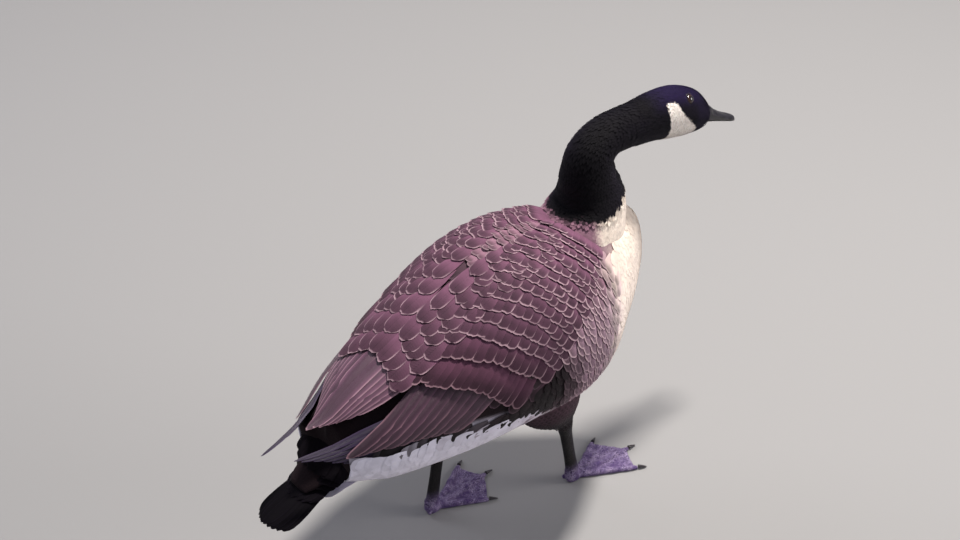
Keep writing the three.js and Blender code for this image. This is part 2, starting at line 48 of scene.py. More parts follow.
bodyRows = [  # station, half width, back, belly
    [-222, 47, 247, 172], [-190, 63, 270, 161], [-164, 74, 286, 154], [-84, 96, 329, 147],
    [-4, 107, 361, 145], [66, 107, 364, 144], [126, 84, 352, 150], [167, 57, 341, 167],
    [196, 37, 332, 187], [213, 24, 321, 207], [224, 14, 299, 225], [228, 3, 265, 241],
]
wingRows = [[-300, 20, 234, 196], [-262, 33, 238, 180]] + bodyRows[:7]
wingEdges = [  # station, upper edge and lower edge in degrees from the back
    [-300, -3, 72], [-262, -3, 76], [-222, -3, 81], [-164, -3, 86], [-109, -3, 92], [-62, -3, 99],
    [-34, -3, 102], [-2, -3, 99], [23, 2, 91], [52, 9, 75], [90, 21, 57], [116, 31, 40],
]
neckRows = [  # x, y, z, half width, back radius, throat radius, from inside the body to the bill
    [96, 0, 288, 60, 52, 84], [126, 0, 326, 49, 42, 80], [142, 0, 353, 40, 34, 60],
    [146, 0, 374, 34, 32, 44], [146, 0, 394, 30.5, 30.5, 33], [150, 0, 417, 27, 27, 27],
    [168, 0, 431, 23.5, 24, 24], [196, 0, 432, 23, 24, 24],
    [213, 0, 430.5, 23, 25, 26], [238, -0.5, 429, 23.5, 29, 28.5],
    [262, -1, 424, 24, 32, 30], [286, -2, 415, 22, 30, 27], [304, -2.5, 406, 17.5, 23, 21],
    [316, -3, 400, 13, 15, 15], [322, -3, 396.5, 9, 9, 9],
]
billRows = [
    [306, -2.6, 406, 10, 15, 9], [318, -3, 400.5, 12, 12.5, 8.5], [332, -3.5, 393.5, 11, 7.5, 6.2],
    [346, -4, 386.5, 9.6, 4.8, 4.8], [358, -4.4, 380.5, 8.6, 3.8, 3.8], [364, -4.6, 377.5, 6, 3, 3],
    [367, -4.8, 376, 2, 1, 1],
]
legs = {
    "right": {"side": -1, "heel": [108, -41], "hock": [82, -45, 99], "knee": [46, -52, 168], "yaw": -3},
    "left": {"side": 1, "heel": [-51, 23], "hock": [-34, 36, 97], "knee": [0, 50, 168], "yaw": 5},
}
toes = {  # length, degrees outwards from the middle toe, width at the root
    "inner": [62, -33, 9], "middle": [80, 0, 10], "outer": [75, 26, 9],
}
ankleHeight = 15


# Curves and surfaces

def smoothRows(rows, t):
    rows = np.asarray(rows, float)
    place = np.clip(t, 0, 1) * (len(rows) - 1)
    i = np.minimum(place.astype(int), len(rows) - 2)
    u = (place - i)[..., None]
    padded = np.vstack([2 * rows[0] - rows[1], rows, 2 * rows[-1] - rows[-2]])
    p0, p1, p2, p3 = (padded[i + k] for k in range(4))
    return 0.5 * (2 * p1 + (p2 - p0) * u + (2 * p0 - 5 * p1 + 4 * p2 - p3) * u ** 2
                  + (3 * p1 - p0 - 3 * p2 + p3) * u ** 3)


def ease(low, high, value):
    t = np.clip((np.asarray(value, float) - low) / (high - low), 0, 1)
    return t * t * (3 - 2 * t)


def unit(v):
    return v / np.maximum(np.linalg.norm(v, axis=-1, keepdims=True), 1e-9)


def read(keys, table, value):
    return [np.interp(value, keys, column) for column in table.T]


class Surface:
    # A skin that gives a point for u, millimetres along it, and v, degrees or millimetres round it
    def __init__(self, place, low, high):
        self.place, self.low, self.high = place, low, high

    def normal(self, u, v):
        along = self.place(u + 0.7, v) - self.place(u - 0.7, v)
        around = self.place(u, v + 0.5) - self.place(u, v - 0.5)
        return unit(np.cross(along, around))

    def point(self, u, v, lift):
        u = np.clip(u, self.low, self.high)
        return self.place(u, v) + self.normal(u, v) * np.asarray(lift)[..., None]

    def scale(self, u, v):
        return np.linalg.norm(self.place(u, v + 1) - self.place(u, v - 1), axis=-1) / 2


def bodyMiddle(back, belly):
    return (back + belly) / 2 - 0.06 * (back - belly)  # the widest line is a little low


def bodySurface(rows, byArc):
    dense = smoothRows(rows, np.linspace(0, 1, 1600))
    step = np.diff(dense, axis=0)
    arc = np.r_[0, np.cumsum(np.hypot(step[:, 0], (step[:, 1] + (step[:, 2] - step[:, 3]) / 2) / 2))]
    keys = arc if byArc else dense[:, 0]

    def place(u, v):
        station, half, back, belly = read(keys, dense, u)
        middle = bodyMiddle(back, belly)
        angle = np.radians(v)
        sine, cosine = np.sin(angle), np.cos(angle)
        reach = np.where(cosine > 0, back - middle, middle - belly)
        return np.stack([station, np.sign(sine) * np.abs(sine) ** bluntness * half,
                         middle + np.sign(cosine) * np.abs(cosine) ** bluntness * reach], -1)

    surface = Surface(place, keys[0] + 2, keys[-1] - 2)
    surface.stationOf = lambda u: np.interp(u, keys, dense[:, 0])
    return surface


def tubeSurface(rows):
    dense = smoothRows(rows, np.linspace(0, 1, 1200))
    centre = dense[:, :3]
    arc = np.r_[0, np.cumsum(np.linalg.norm(np.diff(centre, axis=0), axis=1))]
    along = unit(np.gradient(centre, arc, axis=0))
    left = unit(np.array([0, 1, 0]) - along * along[:, 1:2])
    up = np.cross(along, left)
    table = np.hstack([centre, left, up, dense[:, 3:]])

    def place(u, v):
        got = read(arc, table, u)
        middle, side, top = (np.stack(got[k:k + 3], -1) for k in (0, 3, 6))
        angle = np.radians(v)
        reach = np.where(np.cos(angle) > 0, got[10], got[11])
        return middle + side * (np.sin(angle) * got[9])[..., None] + top * (np.cos(angle) * reach)[..., None]

    surface = Surface(place, 1.5, arc[-1] - 1.5)
    surface.arcAt = lambda x: np.interp(x, centre[:, 0], arc)
    surface.spine = (centre, dense[:, 3:].mean(1))
    return surface


body = bodySurface(bodyRows, True)
wing = bodySurface(wingRows, False)
neck = tubeSurface(neckRows)


# Meshes

def linked(name, data):
    thing = bpy.data.objects.new(name, data)
    bpy.context.collection.objects.link(thing)
    return thing


def paint(mesh, key, colours):
    layer = mesh.color_attributes.new(key, "FLOAT_COLOR", "POINT")
    layer.data.foreach_set("color", colours.astype(np.float32).ravel())


def meshFrom(name, points, triangles, colours=None, maps=None, sharp=None):
    mesh = bpy.data.meshes.new(name)
    moved = (np.asarray(points, float) - [hipsToMiddle, 0, 0]) * 0.001
    triangles = np.asarray(triangles, np.int32)
    mesh.vertices.add(len(moved))
    mesh.vertices.foreach_set("co", moved.astype(np.float32).ravel())
    mesh.loops.add(triangles.size)
    mesh.loops.foreach_set("vertex_index", triangles.ravel())
    mesh.polygons.add(len(triangles))
    mesh.polygons.foreach_set("loop_start", np.arange(0, triangles.size, 3, dtype=np.int32))
    mesh.polygons.foreach_set("use_smooth", np.ones(len(triangles), bool))
    mesh.update(calc_edges=True)
    for key, values in (colours or {}).items():
        paint(mesh, key, values)
    for key, values in (maps or {}).items():
        layer = mesh.uv_layers.new(name=key)
        layer.data.foreach_set("uv", values[triangles.ravel()].astype(np.float32).ravel())
    if sharp is not None:
        mesh.set_sharp_from_angle(angle=np.radians(sharp))
    return linked(name, mesh)


def tubeMesh(rings):
    rings = np.asarray(rings, float)
    count, sides = rings.shape[:2]
    i, j = np.meshgrid(np.arange(count - 1), np.arange(sides), indexing="ij")
    a, b = i * sides + j, i * sides + (j + 1) % sides
    faces = [np.stack(corners, -1).reshape(-1, 3)
             for corners in ([a, b, b + sides], [a, b + sides, a + sides])]
    points = np.vstack([rings.reshape(-1, 3), rings[0].mean(0), rings[-1].mean(0)])
    start, end = len(points) - 2, len(points) - 1
    k = np.arange(sides)
    faces.append(np.stack([np.full(sides, start), (k + 1) % sides, k], -1))
    last = (count - 1) * sides
    faces.append(np.stack([np.full(sides, end), last + k, last + (k + 1) % sides], -1))
    return points, np.vstack(faces)


def surfaceTube(surface, count, sides, liftOf=None):
    u, v = np.meshgrid(np.linspace(surface.low, surface.high, count),
                       np.arange(sides) * 360 / sides - 180, indexing="ij")
    return tubeMesh(surface.point(u, v, liftOf(u, v) if liftOf else np.zeros(u.shape)))


def rowTube(rows, count, sides):
    return surfaceTube(tubeSurface(rows), count, sides)


def joined(parts):
    points, triangles, offset = [], [], 0
    for p, t in parts:
        points.append(p)
        triangles.append(t + offset)
        offset += len(p)
    return np.vstack(points), np.vstack(triangles)


def fused(name, parts, voxel, smoothing):
    # Closed shapes melted into one skin, so that no seam shows
    rough = meshFrom(name + "_rough", *joined(parts))
    remesh = rough.modifiers.new("fuse", "REMESH")
    remesh.mode = "VOXEL"
    remesh.voxel_size = voxel * 0.001
    soften = rough.modifiers.new("soften", "SMOOTH")
    soften.factor = 0.5
    soften.iterations = smoothing
    shown = rough.evaluated_get(bpy.context.evaluated_depsgraph_get())
    mesh = bpy.data.meshes.new_from_object(shown)
    mesh.name = name
    bpy.data.objects.remove(rough)
    mesh.polygons.foreach_set("use_smooth", np.ones(len(mesh.polygons), bool))
    return linked(name, mesh)


def pointsOf(thing):
    co = np.zeros(len(thing.data.vertices) * 3, np.float32)
    thing.data.vertices.foreach_get("co", co)
    return co.reshape(-1, 3) * 1000 + [hipsToMiddle, 0, 0]


# Feathers as closed vanes: a crowned upper face over a flat underside

shapes = {  # share of length, share of width, how far the sides hang back in half widths
    "long": ([0, 0.25, 0.5, 0.7, 0.84, 0.93, 0.98, 1], [0.45, 0.72, 0.92, 1, 0.95, 0.8, 0.6, 0.36],
             [0, 0, 0.02, 0.05, 0.14, 0.26, 0.34, 0.3]),
    "round": ([0, 0.3, 0.55, 0.72, 0.84, 0.92, 0.97, 1], [0.4, 0.8, 0.97, 1, 0.98, 0.9, 0.78, 0.6],
              [0, 0, 0.02, 0.06, 0.12, 0.2, 0.28, 0.32]),
    "bar": ([0, 0.35, 0.62, 0.8, 0.92, 1], [0.45, 0.85, 1, 1, 0.94, 0.76], [0, 0, 0.03, 0.08, 0.16, 0.22]),
    "small": ([0, 0.4, 0.72, 0.92, 1], [0.45, 0.9, 1, 0.8, 0.36], [0, 0.03, 0.16, 0.4, 0.36]),
    "tiny": ([0, 0.5, 0.85, 1], [0.5, 1, 0.8, 0.25], [0, 0.1, 0.3, 0.2]),
}


class Coat:
    # Collects feathers and writes them as one piece, of fewer than 200,000 triangles
    def __init__(self, name, span):
        self.name, self.span, self.parts, self.count = name, span, [], 0

    def add(self, surface, root, tip, width, lifts, shape, columns, tint, edge, crown=0.9, roll=0.8):
        # Arrays are feathers by rows along the vane by columns across it
        count = len(root)
        if count == 0:
            return
        t, share, bow = (np.array(row)[:, None] for row in shapes[shape])
        c = np.linspace(-1, 1, columns)
        rows, vertexes = len(t), len(t) * columns
        root, tip = np.asarray(root, float), np.asarray(tip, float)
        scale = surface.scale(root[:, 0], root[:, 1])[:, None, None]
        (startU, startV), (endU, endV) = root.T[:, :, None, None], tip.T[:, :, None, None]
        width, crown, roll = (np.broadcast_to(x, count).astype(float)[:, None, None]
                              for x in (width, crown, roll))
        under, over = np.broadcast_to(np.asarray(lifts, float), (count, 2)).T[:, :, None, None]
        du, dv = endU - startU, endV - startV
        length = np.hypot(du, dv * scale)
        a, b = du / length, dv * scale / length
        side = np.where(startV >= 0, 1.0, -1.0)
        across = c * (width / 2) * share
        wave = random.normal(0, 0.02, (count, 1, columns)) * width * t ** 3
        behind = -(bow * c ** 2) * (width / 2) + wave * (np.abs(c) < 0.99)
        u = startU + du * t + a * behind + side * b * across
        v = startV + dv * t + (b * behind - side * a * across) / scale
        lift = (under + (over - under) * t + crown * share * (1 - c ** 2)
                + roll * (share * c) * ease(0, 0.6, t))
        triangles = []
        for row in range(rows - 1):
            p, q, far = row * columns, (row + 1) * columns, columns - 1
            for k in range(far):
                triangles += [[p + k, q + k, q + k + 1], [p + k, q + k + 1, p + k + 1]]
            triangles += [[p, p + far, q + far], [p, q + far, q]]
        last = (rows - 1) * columns
        for k in range(1, columns - 1):
            triangles += [[0, k, k + 1], [last, last + k + 1, last + k]]
        triangles = np.array(triangles)
        triangles = np.broadcast_to(triangles, (count,) + triangles.shape).copy()
        turned = side[:, 0, 0] > 0
        triangles[turned] = triangles[turned][:, :, ::-1]
        low, high = self.span
        place = np.stack([(root[:, 0] - low) / (high - low), (root[:, 1] + 180) / 360], -1)
        place = 0.01 + 0.98 * np.clip(place, 0, 1)
        vane = np.stack(np.broadcast_arrays((c + 1) / 2, t), -1).reshape(-1, 2)
        inset = np.minimum((width / 2) * (share * (1 - np.abs(c))), length * (1 - t))
        self.parts.append({
            "points": surface.point(u, v, lift).reshape(count, vertexes, 3),
            "triangles": triangles,
            "tint": np.repeat(tint[:, None, :], vertexes, 1),
            "edge": np.repeat(edge[:, None, :], vertexes, 1),
            "bake": place[:, None, :] + (vane[None] - 0.5) * 0.003,
            "vane": np.broadcast_to(vane, (count, vertexes, 2)),
            "inset": inset.reshape(count, vertexes, 1),
        })
        self.count += count

    def write(self, material, slot):
        offset, triangles = 0, []
        for part in self.parts:
            count, vertexes = part["points"].shape[:2]
            shift = offset + np.arange(count)[:, None, None] * vertexes
            triangles.append((part["triangles"] + shift).reshape(-1, 3))
            offset += count * vertexes
        flat = {key: np.vstack([part[key].reshape(-1, part[key].shape[-1]) for part in self.parts])
                for key in ("points", "tint", "edge", "bake", "vane", "inset")}
        thing = meshFrom(self.name, flat["points"], np.vstack(triangles),
                         {"tint": flat["tint"], "edge": flat["edge"]},
                         {"OFBake": flat["bake"], "Vane": flat["vane"]}, sharp=70)
        layer = thing.data.attributes.new("inset", "FLOAT", "POINT")
        layer.data.foreach_set("value", flat["inset"].astype(np.float32).ravel())
        thing.data.materials.append(material)
        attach(thing, "root")
        print(self.name, self.count, "feathers,", len(thing.data.polygons), "triangles")
        return thing


# Colours

def linear(code):
    parts = [int(code[i:i + 2], 16) / 255 for i in (1, 3, 5)]
    return np.array([p / 12.92 if p <= 0.04045 else ((p + 0.055) / 1.055) ** 2.4 for p in parts])


def rgba(code):
    return (*linear(code), 1)


def withAlpha(colour, alpha):
    return np.insert(colour, 3, alpha, axis=1)


def tones(code, count, spread=0.1, alpha=1.0):
    base = np.broadcast_to(code if isinstance(code, np.ndarray) else linear(code), (count, 3))
    shade = 1 + random.uniform(-spread, spread, (count, 1))
    return np.hstack([np.clip(base * shade, 0, 1), np.broadcast_to(alpha, (count, 1))])


def blend(a, b, share):
    share = np.asarray(share, float)[..., None]
    return a * (1 - share) + b * share


# The crown colour is a painted violet sheen on the black head; shade is a painted shade colour
colours = {key: linear(code) for key, code in {
    "cream": "#f6e6d4", "belly": "#efeaf2", "brown": "#866372", "shade under wings": "#2c1c22",
    "stripe": "#c8abb2", "white": "#e9e5f3", "black": "#0a080b", "crown": "#1d1434",
    "cheek": "#f6ebdf", "rump": "#0e0a0e", "flank": "#b08e9f", "shade": "#1d1217",
}.items()}


def neckBorder(x):
    # Height of the edge between the black neck and the breast
    return 361 + 15 * ease(142, 188, x)


def bodyMarkings(station, degrees):
    # Cream breast, brown back, paler flanks, a band of painted shade under the wing's edge, white belly and vent
    d = np.abs(degrees)
    whiteEdge = np.interp(station, [-222, -180, -106, -58, -20, 40, 90], [80, 84, 92, 100, 107, 116, 122])
    brown = 1 - ease(108, 164, station + 0.3 * (d - 60))
    brown = brown * (1 - ease(112, 134, d))
    back = 1 - ease(22, 52, d)
    brown = np.maximum(brown, back * (1 - ease(140, 172, station)))
    side = blend(colours["brown"], colours["flank"], ease(45, 70, d) * ease(20, 80, station))
    colour = blend(blend(colours["belly"], colours["cream"], ease(60, 150, station)), side, brown)
    white = ease(-3, 3, d - whiteEdge)
    # Painted shade: the flank under the wing's edge, down to the white, takes the shade colour
    under = ease(-240, -225, station) * (1 - ease(30, 84, station)) * ease(74, 82, d) * (1 - white)
    colour = blend(colour, colours["shade"], under)
    white = white * (1 - ease(-30, 30, station))
    colour = blend(colour, colours["white"], white)
    rump = (1 - ease(-150, -120, station)) * (1 - white)
    plain = (1 - under) * (1 - rump) * (1 - white)
    colour = blend(colour, colours["rump"], rump)
    return colour, brown * plain


cheekCorners = np.array([
    (250, 449), (257, 449), (263, 445), (271, 428), (293, 402), (296, 372), (246, 372), (250, 410),
])


def cheekDepth(points):
    # Signed distance inside the cheek patch as seen from the side
    p = points[:, [0, 2]]
    inside = np.zeros(len(p), bool)
    nearest = np.full(len(p), 1e9)
    for a, b in zip(cheekCorners, np.roll(cheekCorners, -1, 0)):
        edge, away = b - a, p - a
        share = np.clip((away @ edge) / (edge @ edge), 0, 1)
        nearest = np.minimum(nearest, np.linalg.norm(away - share[:, None] * edge, axis=1))
        crosses = (a[1] > p[:, 1]) != (b[1] > p[:, 1])
        at = a[0] + (p[:, 1] - a[1]) * (b[0] - a[0]) / ((b[1] - a[1]) or 1e-9)
        inside ^= crosses & (p[:, 0] < at)
    return np.where(inside, nearest, -nearest)


def neckMarkings(points, ragged=0.0):
    # Black above the border on the breast, with a painted violet sheen on the top of the head and a little on the
    # front of the face, cream cheek patch meeting under the chin
    count = len(points)
    noise = random.normal(0, 1, count) * ragged
    x, z = points[:, 0], points[:, 2]
    # Painted sheen: the crown colour on the top of the head and, more faintly, on the front of the face
    top = ease(225, 262, x) * ease(8, 24, z - (430 - 0.35 * np.maximum(x - 262, 0)))
    colour = blend(np.broadcast_to(colours["black"], (count, 3)), colours["crown"], top)
    colour = blend(colour, colours["crown"], 0.3 * ease(286, 300, x))
    colour = blend(colour, colours["cheek"], ease(-0.8, 0.8, cheekDepth(points) + noise * 0.5))
    base = blend(colours["cream"], colours["brown"], ease(154, 136, x + 0.35 * np.abs(points[:, 1])))
    return blend(base, colour, ease(-2.5, 2.5, z - neckBorder(x) + noise * 2))


# Materials

def plug(made, target, values):
    # Sockets by name, or by number as i0, i1 and so on; a node stands for its first output
    for key, value in values.items():
        socket = target.inputs[int(key[1:]) if key[1:].isdigit() else key.replace("_", " ")]
        if isinstance(value, bpy.types.Node):
            value = value.outputs[0]
        if isinstance(value, bpy.types.NodeSocket):
            made.node_tree.links.new(value, socket)
        else:
            socket.default_value = value


def node(made, kind, settings, *values, **named):
    # Adds a node with its settings, and with the values or links of its sockets
    new = made.node_tree.nodes.new("ShaderNode" + kind)
    for key, value in settings.items():
        setattr(new, key, value)
    plug(made, new, {**{f"i{k}": value for k, value in enumerate(values)}, **named})
    return new


def material(name):
    made = bpy.data.materials.new(name)
    made.use_nodes = True
    return made, partial(node, made), node(made, "TexCoord", {}).outputs["Object"]


def finish(made, **values):
    plug(made, made.node_tree.nodes["Principled BSDF"], values)


times, plus, minus, timesPlus = ({"operation": name} for name in (
    "MULTIPLY", "ADD", "SUBTRACT", "MULTIPLY_ADD"))
smooth = {"interpolation_type": "SMOOTHSTEP"}
mixing = {"data_type": "RGBA"}
tinting = {"data_type": "RGBA", "blend_type": "MULTIPLY"}


def featherMaterial(name, look):
    # One vane: tint from its place on the bird, a paler rim, a shaft line, slanting barbs and painted shade on the
    # side under its neighbour
    made, add, position = material(name)
    tint, edge, inset = (add("Attribute", {"attribute_name": key}) for key in ("tint", "edge", "inset"))
    split = add("SeparateXYZ", {}, add("UVMap", {"uv_map": "Vane"}))
    across, along = split.outputs[0], split.outputs[1]
    side = add("Math", {"operation": "ABSOLUTE"}, add("Math", timesPlus, across, 2.0, -1.0))
    mottle = add("TexNoise", {}, position, Scale=1000 / look["mottle"], Detail=3.0)
    wear = add("TexNoise", {}, position, Scale=350 / look["mottle"], Detail=1.0)
    slant = add("Math", minus, along, add("Math", times, side, look["slant"]))
    barbs = add("Math", {"operation": "SINE"}, add("Math", times, slant, look["barbs"]))
    # The rim follows the distance to the vane's outline, which wear makes uneven
    wander = add("Math", timesPlus, mottle, look["ragged"], -look["ragged"] / 2)
    wearAndSheen = add("Math", timesPlus, wear, look["wear"], -look["wear"] / 2)
    rimLine = add("Math", minus, inset.outputs["Fac"], wearAndSheen)
    rimLine = add("Math", plus, rimLine, add("Math", times, wander, 4.0))
    rim = add("Math", minus, 1.0, add("MapRange", smooth, rimLine, look["rim"] * 0.15, look["rim"] * 1.6))
    rim = add("Math", times, rim, add("MapRange", smooth, along, look["rimFrom"], look["rimFrom"] + 0.3))
    rim = add("Math", {**times, "use_clamp": True}, rim, edge.outputs["Alpha"])
    tipShade = add("MapRange", smooth, along, 0.5, 0.9)
    shade = add("Math", timesPlus, tipShade, -look["darkTip"], 1.0 + look["darkTip"] * 0.45)
    shade = add("Math", plus, shade, add("Math", timesPlus, mottle, 0.5, -0.25))
    shade = add("Math", plus, shade, add("Math", times, barbs, look["barbTone"]))
    shaft = add("Math", minus, 1.0, add("MapRange", smooth, side, 0.0, look["shaft"]))
    shade = add("Math", plus, shade, add("Math", times, shaft, look["shaftTone"]))
    # Painted shade: the vane is darker towards the side that lies under its neighbour's edge
    neighbourShade = add("MapRange", smooth, across, 0.6, 0.95)
    neighbourShade = add("Math", timesPlus, neighbourShade, look["neighbourShade"], 1 - 0.6 * look["neighbourShade"])
    shade = add("Math", times, shade, neighbourShade)
    grey = add("CombineColor", {}, shade, shade, shade)
    colour = add("Mix", tinting, 1.0, i6=tint, i7=grey).outputs[2]
    relief = add("Math", plus, add("Math", times, barbs, 0.5), mottle)
    finish(made, Base_Color=add("Mix", mixing, rim, i6=colour, i7=edge).outputs[2],
           Normal=add("Bump", {}, Strength=look["bump"], Distance=0.0006, Height=relief),
           Roughness=add("Math", timesPlus, mottle, 0.2, look["rough"] - 0.1),
           Specular_IOR_Level=look["shine"], Sheen_Weight=look["sheen"], Sheen_Roughness=0.5,
           Sheen_Tint=look["sheenTint"])
    return made


# Mottle, rim and wear are in millimetres. Barbs are radians along a vane: real ones, under half a
# millimetre apart, are too fine to show, so these are drawn about twice as coarse
# Each look also sets how strong the painted shade under a neighbour's edge is
plainLook = {
    "mottle": 11.1, "ragged": 0.05, "slant": 0.3, "barbs": 150.0, "barbTone": 0.05,
    "rim": 1.5, "rimFrom": 0.6, "wear": 1.1, "darkTip": 0.85, "neighbourShade": 0.15, "shaft": 0.06,
    "shaftTone": -0.15, "bump": 0.35, "rough": 0.75, "shine": 0.2,
    "sheen": 0.05, "sheenTint": (1, 0.9, 0.95, 1),
}
# Brown wing and back feathers: matt vanes that darken towards a pale worn rim
brownFeather = featherMaterial("brown_contour_feather", plainLook)
# Breast, belly and vent: soft silky feathers, nearly one tone, with a faint pale tip
paleFeather = featherMaterial("pale_breast_feather", {
    **plainLook, "darkTip": 0.0, "neighbourShade": 0.0, "barbTone": 0.03, "rim": 2.0, "shaftTone": 0.0, "sheen": 0.3,
    "ragged": 0.12, "rough": 0.85, "bump": 0.3,
})
# Neck and head: short velvety black feathers with a violet bloom where light grazes them
blackFeather = featherMaterial("black_neck_feather", {
    **plainLook, "darkTip": -0.2, "barbTone": 0.1, "neighbourShade": 0.0, "sheen": 0.03,
    "sheenTint": (0.5, 0.35, 0.9, 1), "rough": 0.65, "shine": 0.1, "bump": 0.3, "mottle": 4.55,
})
# Flight feathers: stiff, smooth and a little glossy, with strong painted shade under each neighbour
flightFeather = featherMaterial("flight_feather", {
    **plainLook, "barbs": 420.0, "slant": 0.12, "rough": 0.5, "shine": 0.5, "sheen": 0.1, "ragged": 0.03,
    "rim": 1.9, "rimFrom": 0.2, "shaft": 0.05, "shaftTone": 0.12, "darkTip": 0.35, "neighbourShade": 0.6,
})
# Tail feathers: dense black vanes, matt from wear
blackVane = featherMaterial("black_tail_feather", {
    **plainLook, "barbs": 420.0, "slant": 0.12, "shine": 0.06, "sheen": 0.0, "ragged": 0.03,
    "rim": 1.0, "shaft": 0.05, "shaftTone": 0.3, "darkTip": 0.2,
})
print("materials made")


# One skin under the whole coat

skinBuild = {  # depths under the solids' surface, how far pale parts rise, and the melting
    "body": 4.5, "neck": 2.4, "head": 1.3, "pale": 1.9, "voxel": 2.4, "smoothing": 8,
}
tailRootRows = [
    [-200, 0, 192, 27, 12, 21], [-222, 0, 186, 25, 9, 13], [-244, 0, 178, 21, 5, 7], [-258, 0, 171, 14, 3, 3],
]
edgeStations, upperEdge, lowerEdge = np.array(wingEdges, float).T


def thighRows(leg):
    hock, knee = np.array(leg["hock"], float), np.array(leg["knee"], float)
    sizes = [(-0.5, 26, 30), (0, 34, 39), (0.4, 24, 28), (0.72, 13, 16), (0.95, 8, 10), (1.03, 6, 7)]
    return [[*(knee + (hock - knee) * t), half, reach, reach] for t, half, reach in sizes]


def wingCover(station, degrees, margin):
    # 1 well inside the folded wing's outline, 0 outside it
    above, below = (np.interp(station, edgeStations, edge) for edge in (upperEdge, lowerEdge))
    d = np.abs(degrees)
    return ease(0, margin, d - above) * ease(0, margin, below - d) * ease(114, 104, station)


def bodyLift(u, v):
    # Deepest under the wings, where the feathers need a bed
    station = body.stationOf(u)
    bed = 1.2 + 7.5 * ease(-90, -190, station)
    tint, _ = bodyMarkings(station, v)
    rise = skinBuild["pale"] * ease(0.3, 0.5, tint.mean(-1))
    return -skinBuild["body"] + rise - bed * wingCover(station, v, 9)


u, v = np.meshgrid(np.linspace(neck.low, neck.high, 90), np.arange(40) * 9.0, indexing="ij")
headward = ease(neck.arcAt(205), neck.arcAt(245), u)
neckTube = tubeMesh(neck.point(u, v, -skinBuild["neck"] + (skinBuild["neck"] - skinBuild["head"]) * headward))
skin = fused("goose_skin", [
    surfaceTube(body, 120, 90, bodyLift), neckTube, rowTube(tailRootRows, 20, 24),
    rowTube(thighRows(legs["right"]), 24, 24), rowTube(thighRows(legs["left"]), 24, 24),
], skinBuild["voxel"], skinBuild["smoothing"])
skinPoints = pointsOf(skin)
heart = np.interp(skinPoints[:, 0], [-258, -200, -150, 0], [160, 182, 225, 250])
around = np.degrees(np.arctan2(np.abs(skinPoints[:, 1]), skinPoints[:, 2] - heart))
skinTint, _ = bodyMarkings(skinPoints[:, 0], around)
# Painted shade: the skin under the folded wings is made dark
skinTint = blend(skinTint, colours["shade under wings"] * 0.6, wingCover(skinPoints[:, 0], around, 6))
onNeck = skinPoints[:, 2] > np.interp(skinPoints[:, 0], [90, 130, 170, 230], [372, 352, 338, 330])
skinTint[onNeck] = neckMarkings(skinPoints[onNeck])
# Painted shade: the thigh skin takes the shade colour
onThigh = ease(150, 138, skinPoints[:, 2]) * ease(-80, -50, skinPoints[:, 0])
skinTint = blend(skinTint, colours["shade"], onThigh)
paint(skin.data, "tint", withAlpha(skinTint, 1))

# Down and short feathers seen between the vanes: soft, matt tufts of about 2 mm, in the coat's colours
down, add, position = material("down_under_the_coat")
tufts = add("TexNoise", {}, position, Scale=1000 / 2.38, Detail=4.0)
shade = add("Math", timesPlus, tufts, 0.5, 0.5)
grey = add("CombineColor", {}, shade, shade, shade)
tint = add("Attribute", {"attribute_name": "tint"})
finish(down, Base_Color=add("Mix", tinting, 1.0, i6=tint, i7=grey).outputs[2], Roughness=0.9,
       Specular_IOR_Level=0.2, Normal=add("Bump", {}, Strength=0.7, Distance=0.001, Height=tufts))
skin.data.materials.append(down)
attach(skin, "root")
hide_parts("torso", "neck_lower", "neck_upper", "head", "thigh_right", "thigh_left")
print("skin", len(skin.data.polygons), "faces")


# Body feathers, in rows from the vent to the breast

def insideNeck(points, grow):
    centre, reach = neck.spine
    away = np.linalg.norm(points[:, None, :] - centre[None, ::8, :], axis=2) - reach[None, ::8]
    return away.min(1) < grow


def evenRound(surface, u, spacing, offset):
    v = np.linspace(-180, 180, 361)
    points = surface.place(np.full(361, float(u)), v)
    arc = np.r_[0, np.cumsum(np.linalg.norm(np.diff(points, axis=0), axis=1))]
    count = max(int(arc[-1] / spacing), 3)
    return np.interp((np.arange(count) + offset) * arc[-1] / count, arc, v)


def featherRoots(surface, start, end, pattern):
    # Rows of roots round a surface; pattern gives each row's spacing, its stride and a value to keep
    roots, u, number = [], start, 0
    while u < end:
        across, stride, kept = pattern(u)
        v = evenRound(surface, u, across, 0.5 * (number % 2))
        roots.append(np.stack([np.full(len(v), u), v, np.full(len(v), kept)], -1))
        u += stride
        number += 1
    return np.vstack(roots)


bodyFeathers = {  # millimetres, with how much less on the front of the breast, and degrees of fall
    "across": [9.6, 4.6], "stride": [9.4, 4.8], "length": 27, "width": 16, "flank width": 4, "fall": 24,
    "root": 0.3, "tip": -0.6, "front tip": 1.6, "tucked tip": 1.6, "rear bed": 9.0,
}


def bodyPattern(u):
    fine = ease(120, 205, body.stationOf(u))
    (across, less), (stride, shorter) = bodyFeathers["across"], bodyFeathers["stride"]
    return across - less * fine, stride - shorter * fine, 1 - 0.42 * fine


